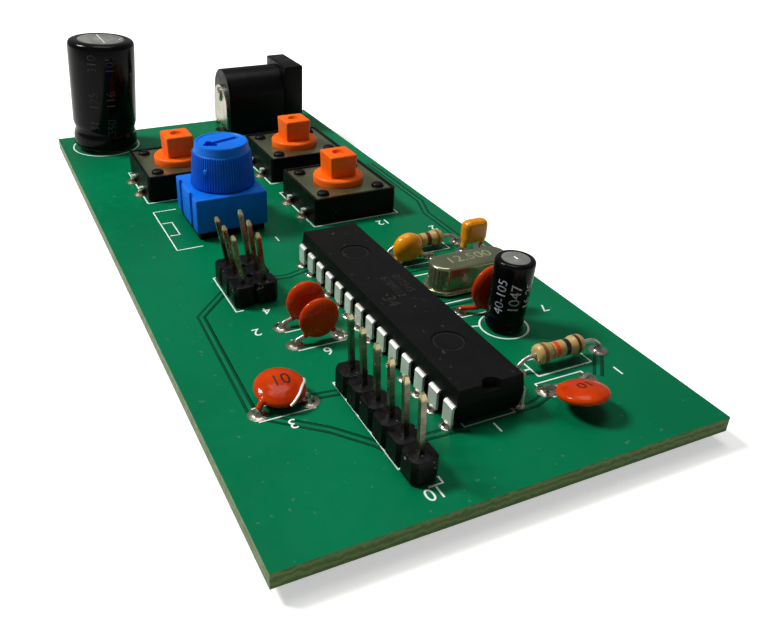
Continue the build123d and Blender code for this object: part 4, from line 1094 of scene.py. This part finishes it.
# Where wire shows over the rim of the first disc, as places across, out of and up the disc
BARE_LEAD = (
    (2.5, 0.0, 0.3), (2.42, -0.3, -0.1), (2.15, -0.46, -0.6), (1.7, -0.56, -1.1),
    (1.3, -0.54, -1.7), (0.8, -0.4, -2.15), (0.4, -0.2, -2.42), (0.1, 0.0, -2.5),
)
disc_runs = []
for index, ((x, y), shape) in enumerate(zip(DISC_PLACES, DISCS), 1):
    offset, radius, lean, legs, angles = shape
    turn = math.radians(lean)
    centre = Vector((x + offset[0], y + offset[1], offset[2]))

    def on_disc(across, out, up):
        """A place given across the disc, out of its face and up it, in millimetres."""
        return spot(
            centre.x + across,
            centre.y + out * math.cos(turn) - up * math.sin(turn),
            centre.z + out * math.sin(turn) + up * math.cos(turn),
        )

    rising = [(share * radius, -depth) for share, depth in LENS_EDGE]
    falling = [(share * radius, depth) for share, depth in reversed(LENS_EDGE)]
    lens = turned("lens", (*rising, (radius, 0.0), *falling), 56)
    lens.rotation_euler.x = turn - math.pi / 2
    lens.location = spot(*centre)
    settle(lens)
    parts = [lens]
    for side, leg, angle in zip((-1, 1), legs, angles):
        across = side * math.sin(math.radians(angle))
        down = -math.cos(math.radians(angle))
        hole_x = x + side * PITCH
        hole = spot(hole_x, y, 0.5)
        start = on_disc(across * 0.8 * radius, 0, down * 0.8 * radius)
        rim = on_disc(across * radius, 0, down * radius)
        toward = (hole - rim).normalized() * (leg * MM)
        parts.append(bent_rod("run", [[start, rim, rim + toward]], DIP_WIDTH, "POLY", 3))
        inside = on_disc(across * (radius - 0.3), 0, down * (radius - 0.3))
        bends = [hole + (rim - hole) * share for share in (0.15, 0.6)]
        disc_runs.append([spot(hole_x, y, WIRE_END), spot(hole_x, y, 0.2), *bends, rim, inside])
    body = dipped(f"disc_capacitor_{index}", parts, 0.1, dip)
    if index == 1:
        route = [on_disc(*place) for place in BARE_LEAD]
        bare = bent_rod("disc_capacitor_1_bare_lead", [route], 0.3, "NURBS", 2)
        coat(bare, tinned)
        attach(bare, "board")
    if index in NUMBERED:
        size, out, turned_by = NUMBERED[index]
        face_turn = (turn + math.pi / 2, 0, turned_by)
        label = number("10", size, 0.02, on_disc(0.1, out, 0.2), face_turn)
        coat(label, print_black)
        cut_finely(label)
        press_on(label, body)
        label.name = f"disc_capacitor_{index}_number"
        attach(label, "board")
lay_wires("disc_capacitor_wires", "disc_capacitor_leads", disc_runs, 0.5)

# ------------------------------------------------------------
# Bead capacitors: small pellets dipped in yellow resin, which hangs down their wires as legs.
# One is round and sits at the chip's end of its holes, and the other is a square block.
amber = finish("yellow_dip", "F49C06", "E08602", 300.0, 0.12, 0.24, 0.008, specular=0.35)
BEAD_Y = 38.1
deselect()
bpy.ops.mesh.primitive_uv_sphere_add(
    segments=32, ring_count=20, radius=1.0, location=spot(32.55, BEAD_Y, 2.05)
)
pellet = bpy.context.object
pellet.scale = (1.95 * MM, 1.3 * MM, 1.85 * MM)
settle(pellet)
slab = block("slab", (40.3, BEAD_Y - 0.9, 1.0), (43.72, BEAD_Y + 0.9, 4.14), 0.75)


def runs_in_row(routes):
    """Runs of places in the row of the beads' holes, from places across and up."""
    return [[spot(x, BEAD_Y, z) for x, z in route] for route in routes]


LEGS_1 = (((31.9, 1.3), (31.15, 0.6), (30.95, 0.15)), ((33.6, 1.4), (34.3, 0.85), (34.6, 0.7)))
LEGS_2 = (((40.95, 1.8), (40.75, 0.9), (40.65, 0.45)), ((43.05, 1.8), (43.25, 1.1), (43.35, 0.8)))
for index, (pip, routes, thickness) in enumerate(((pellet, LEGS_1, 0.95), (slab, LEGS_2, 0.9)), 1):
    legs = bent_rod("legs", runs_in_row(routes), thickness, "POLY", 3)
    dipped(f"bead_capacitor_{index}", [pip, legs], 0.09, amber)
WIRE_ROUTES = (
    ((30.91, WIRE_END), (30.91, 0.6)),
    ((35.99, WIRE_END), (35.99, 0.1), (35.9, 0.55), (34.4, 0.7)),
    ((40.65, WIRE_END), (40.65, 0.8)),
    ((43.35, WIRE_END), (43.35, 0.8)),
)
lay_wires("bead_capacitor_wires", "bead_capacitor_leads", runs_in_row(WIRE_ROUTES), 0.52, "POLY")

# ------------------------------------------------------------
# Studio: a white floor that keeps the board's shadow, a lamp from the rear left and a weaker
# one above, in a dim room, and the camera. For the camera alone the floor glows as painted light,
# half as strongly near the board as far away.
deselect()
bpy.ops.mesh.primitive_plane_add(size=3.0, location=(0, 0, 0))
floor = bpy.context.object
floor.name = "floor"
paper = bpy.data.materials.new("floor_paper")
paper.use_nodes = True
tree = paper.node_tree
shader = tree.nodes["Principled BSDF"]
shader.inputs["Base Color"].default_value = colour("F4F2EE")
shader.inputs["Roughness"].default_value = 0.9
shader.inputs["Emission Color"].default_value = (1.0, 1.0, 1.0, 1.0)
# Painted light: the floor glows for camera rays, less near the board and more far from it
ray = add_node(tree, "LightPath")
glow = add_node(tree, "Math", operation="MULTIPLY")
away = add_node(tree, "VectorMath", operation="LENGTH")
tree.links.new(add_node(tree, "TexCoord").outputs["Object"], away.inputs[0])
tree.links.new(ray.outputs["Is Camera Ray"], glow.inputs[0])
tree.links.new(ramp(tree, away.outputs["Value"], 0.07, 0.3, 0.5, 1.0), glow.inputs[1])
tree.links.new(glow.outputs[0], shader.inputs["Emission Strength"])
coat(floor, paper)


def softbox(name, location, size, power):
    """A square area lamp that looks at the board's middle."""
    lamp = bpy.data.lights.new(name, "AREA")
    lamp.size = size
    lamp.energy = power
    holder = bpy.data.objects.new(name, lamp)
    bpy.context.scene.collection.objects.link(holder)
    holder.location = location
    x, y, z = location
    yaw = math.atan2(-y, -x) - math.pi / 2
    pitch = math.atan2(math.hypot(x, y), z)
    holder.rotation_euler = (pitch, 0, yaw)


softbox("key_lamp", (-0.28, 0.2, 0.42), 0.12, 2.75)
softbox("top_lamp", (0.06, 0.12, 0.6), 0.3, 1.1)

world = bpy.data.worlds.new("studio")
bpy.context.scene.world = world
world.use_nodes = True
tree = world.node_tree
shine = tree.nodes["Background"].inputs["Strength"]
tree.nodes["Background"].inputs["Color"].default_value = (1.0, 1.0, 1.0, 1.0)
ray = add_node(tree, "LightPath")
seen = ramp(tree, ray.outputs["Is Camera Ray"], 0.0, 1.0, 0.08, 1.0)
mirrored = ramp(tree, ray.outputs["Is Glossy Ray"], 0.0, 1.0, 0.0, 0.22)
brighter = add_node(tree, "Math", operation="MAXIMUM")
tree.links.new(seen, brighter.inputs[0])
tree.links.new(mirrored, brighter.inputs[1])
tree.links.new(brighter.outputs[0], shine)

bpy.context.scene.view_settings.view_transform = "Standard"
view = bpy.data.cameras.new("camera")
view.sensor_width = 36.0
view.lens = 37.53
view.shift_x = 0.0801
view.shift_y = -0.0342
view.clip_start = 0.001
camera = bpy.data.objects.new("camera", view)
bpy.context.scene.collection.objects.link(camera)
camera.location = (-0.03588, -0.08764, 0.04897)
camera.rotation_euler = [math.radians(a) for a in (60.287, -0.882, -24.245)]
bpy.context.scene.camera = camera
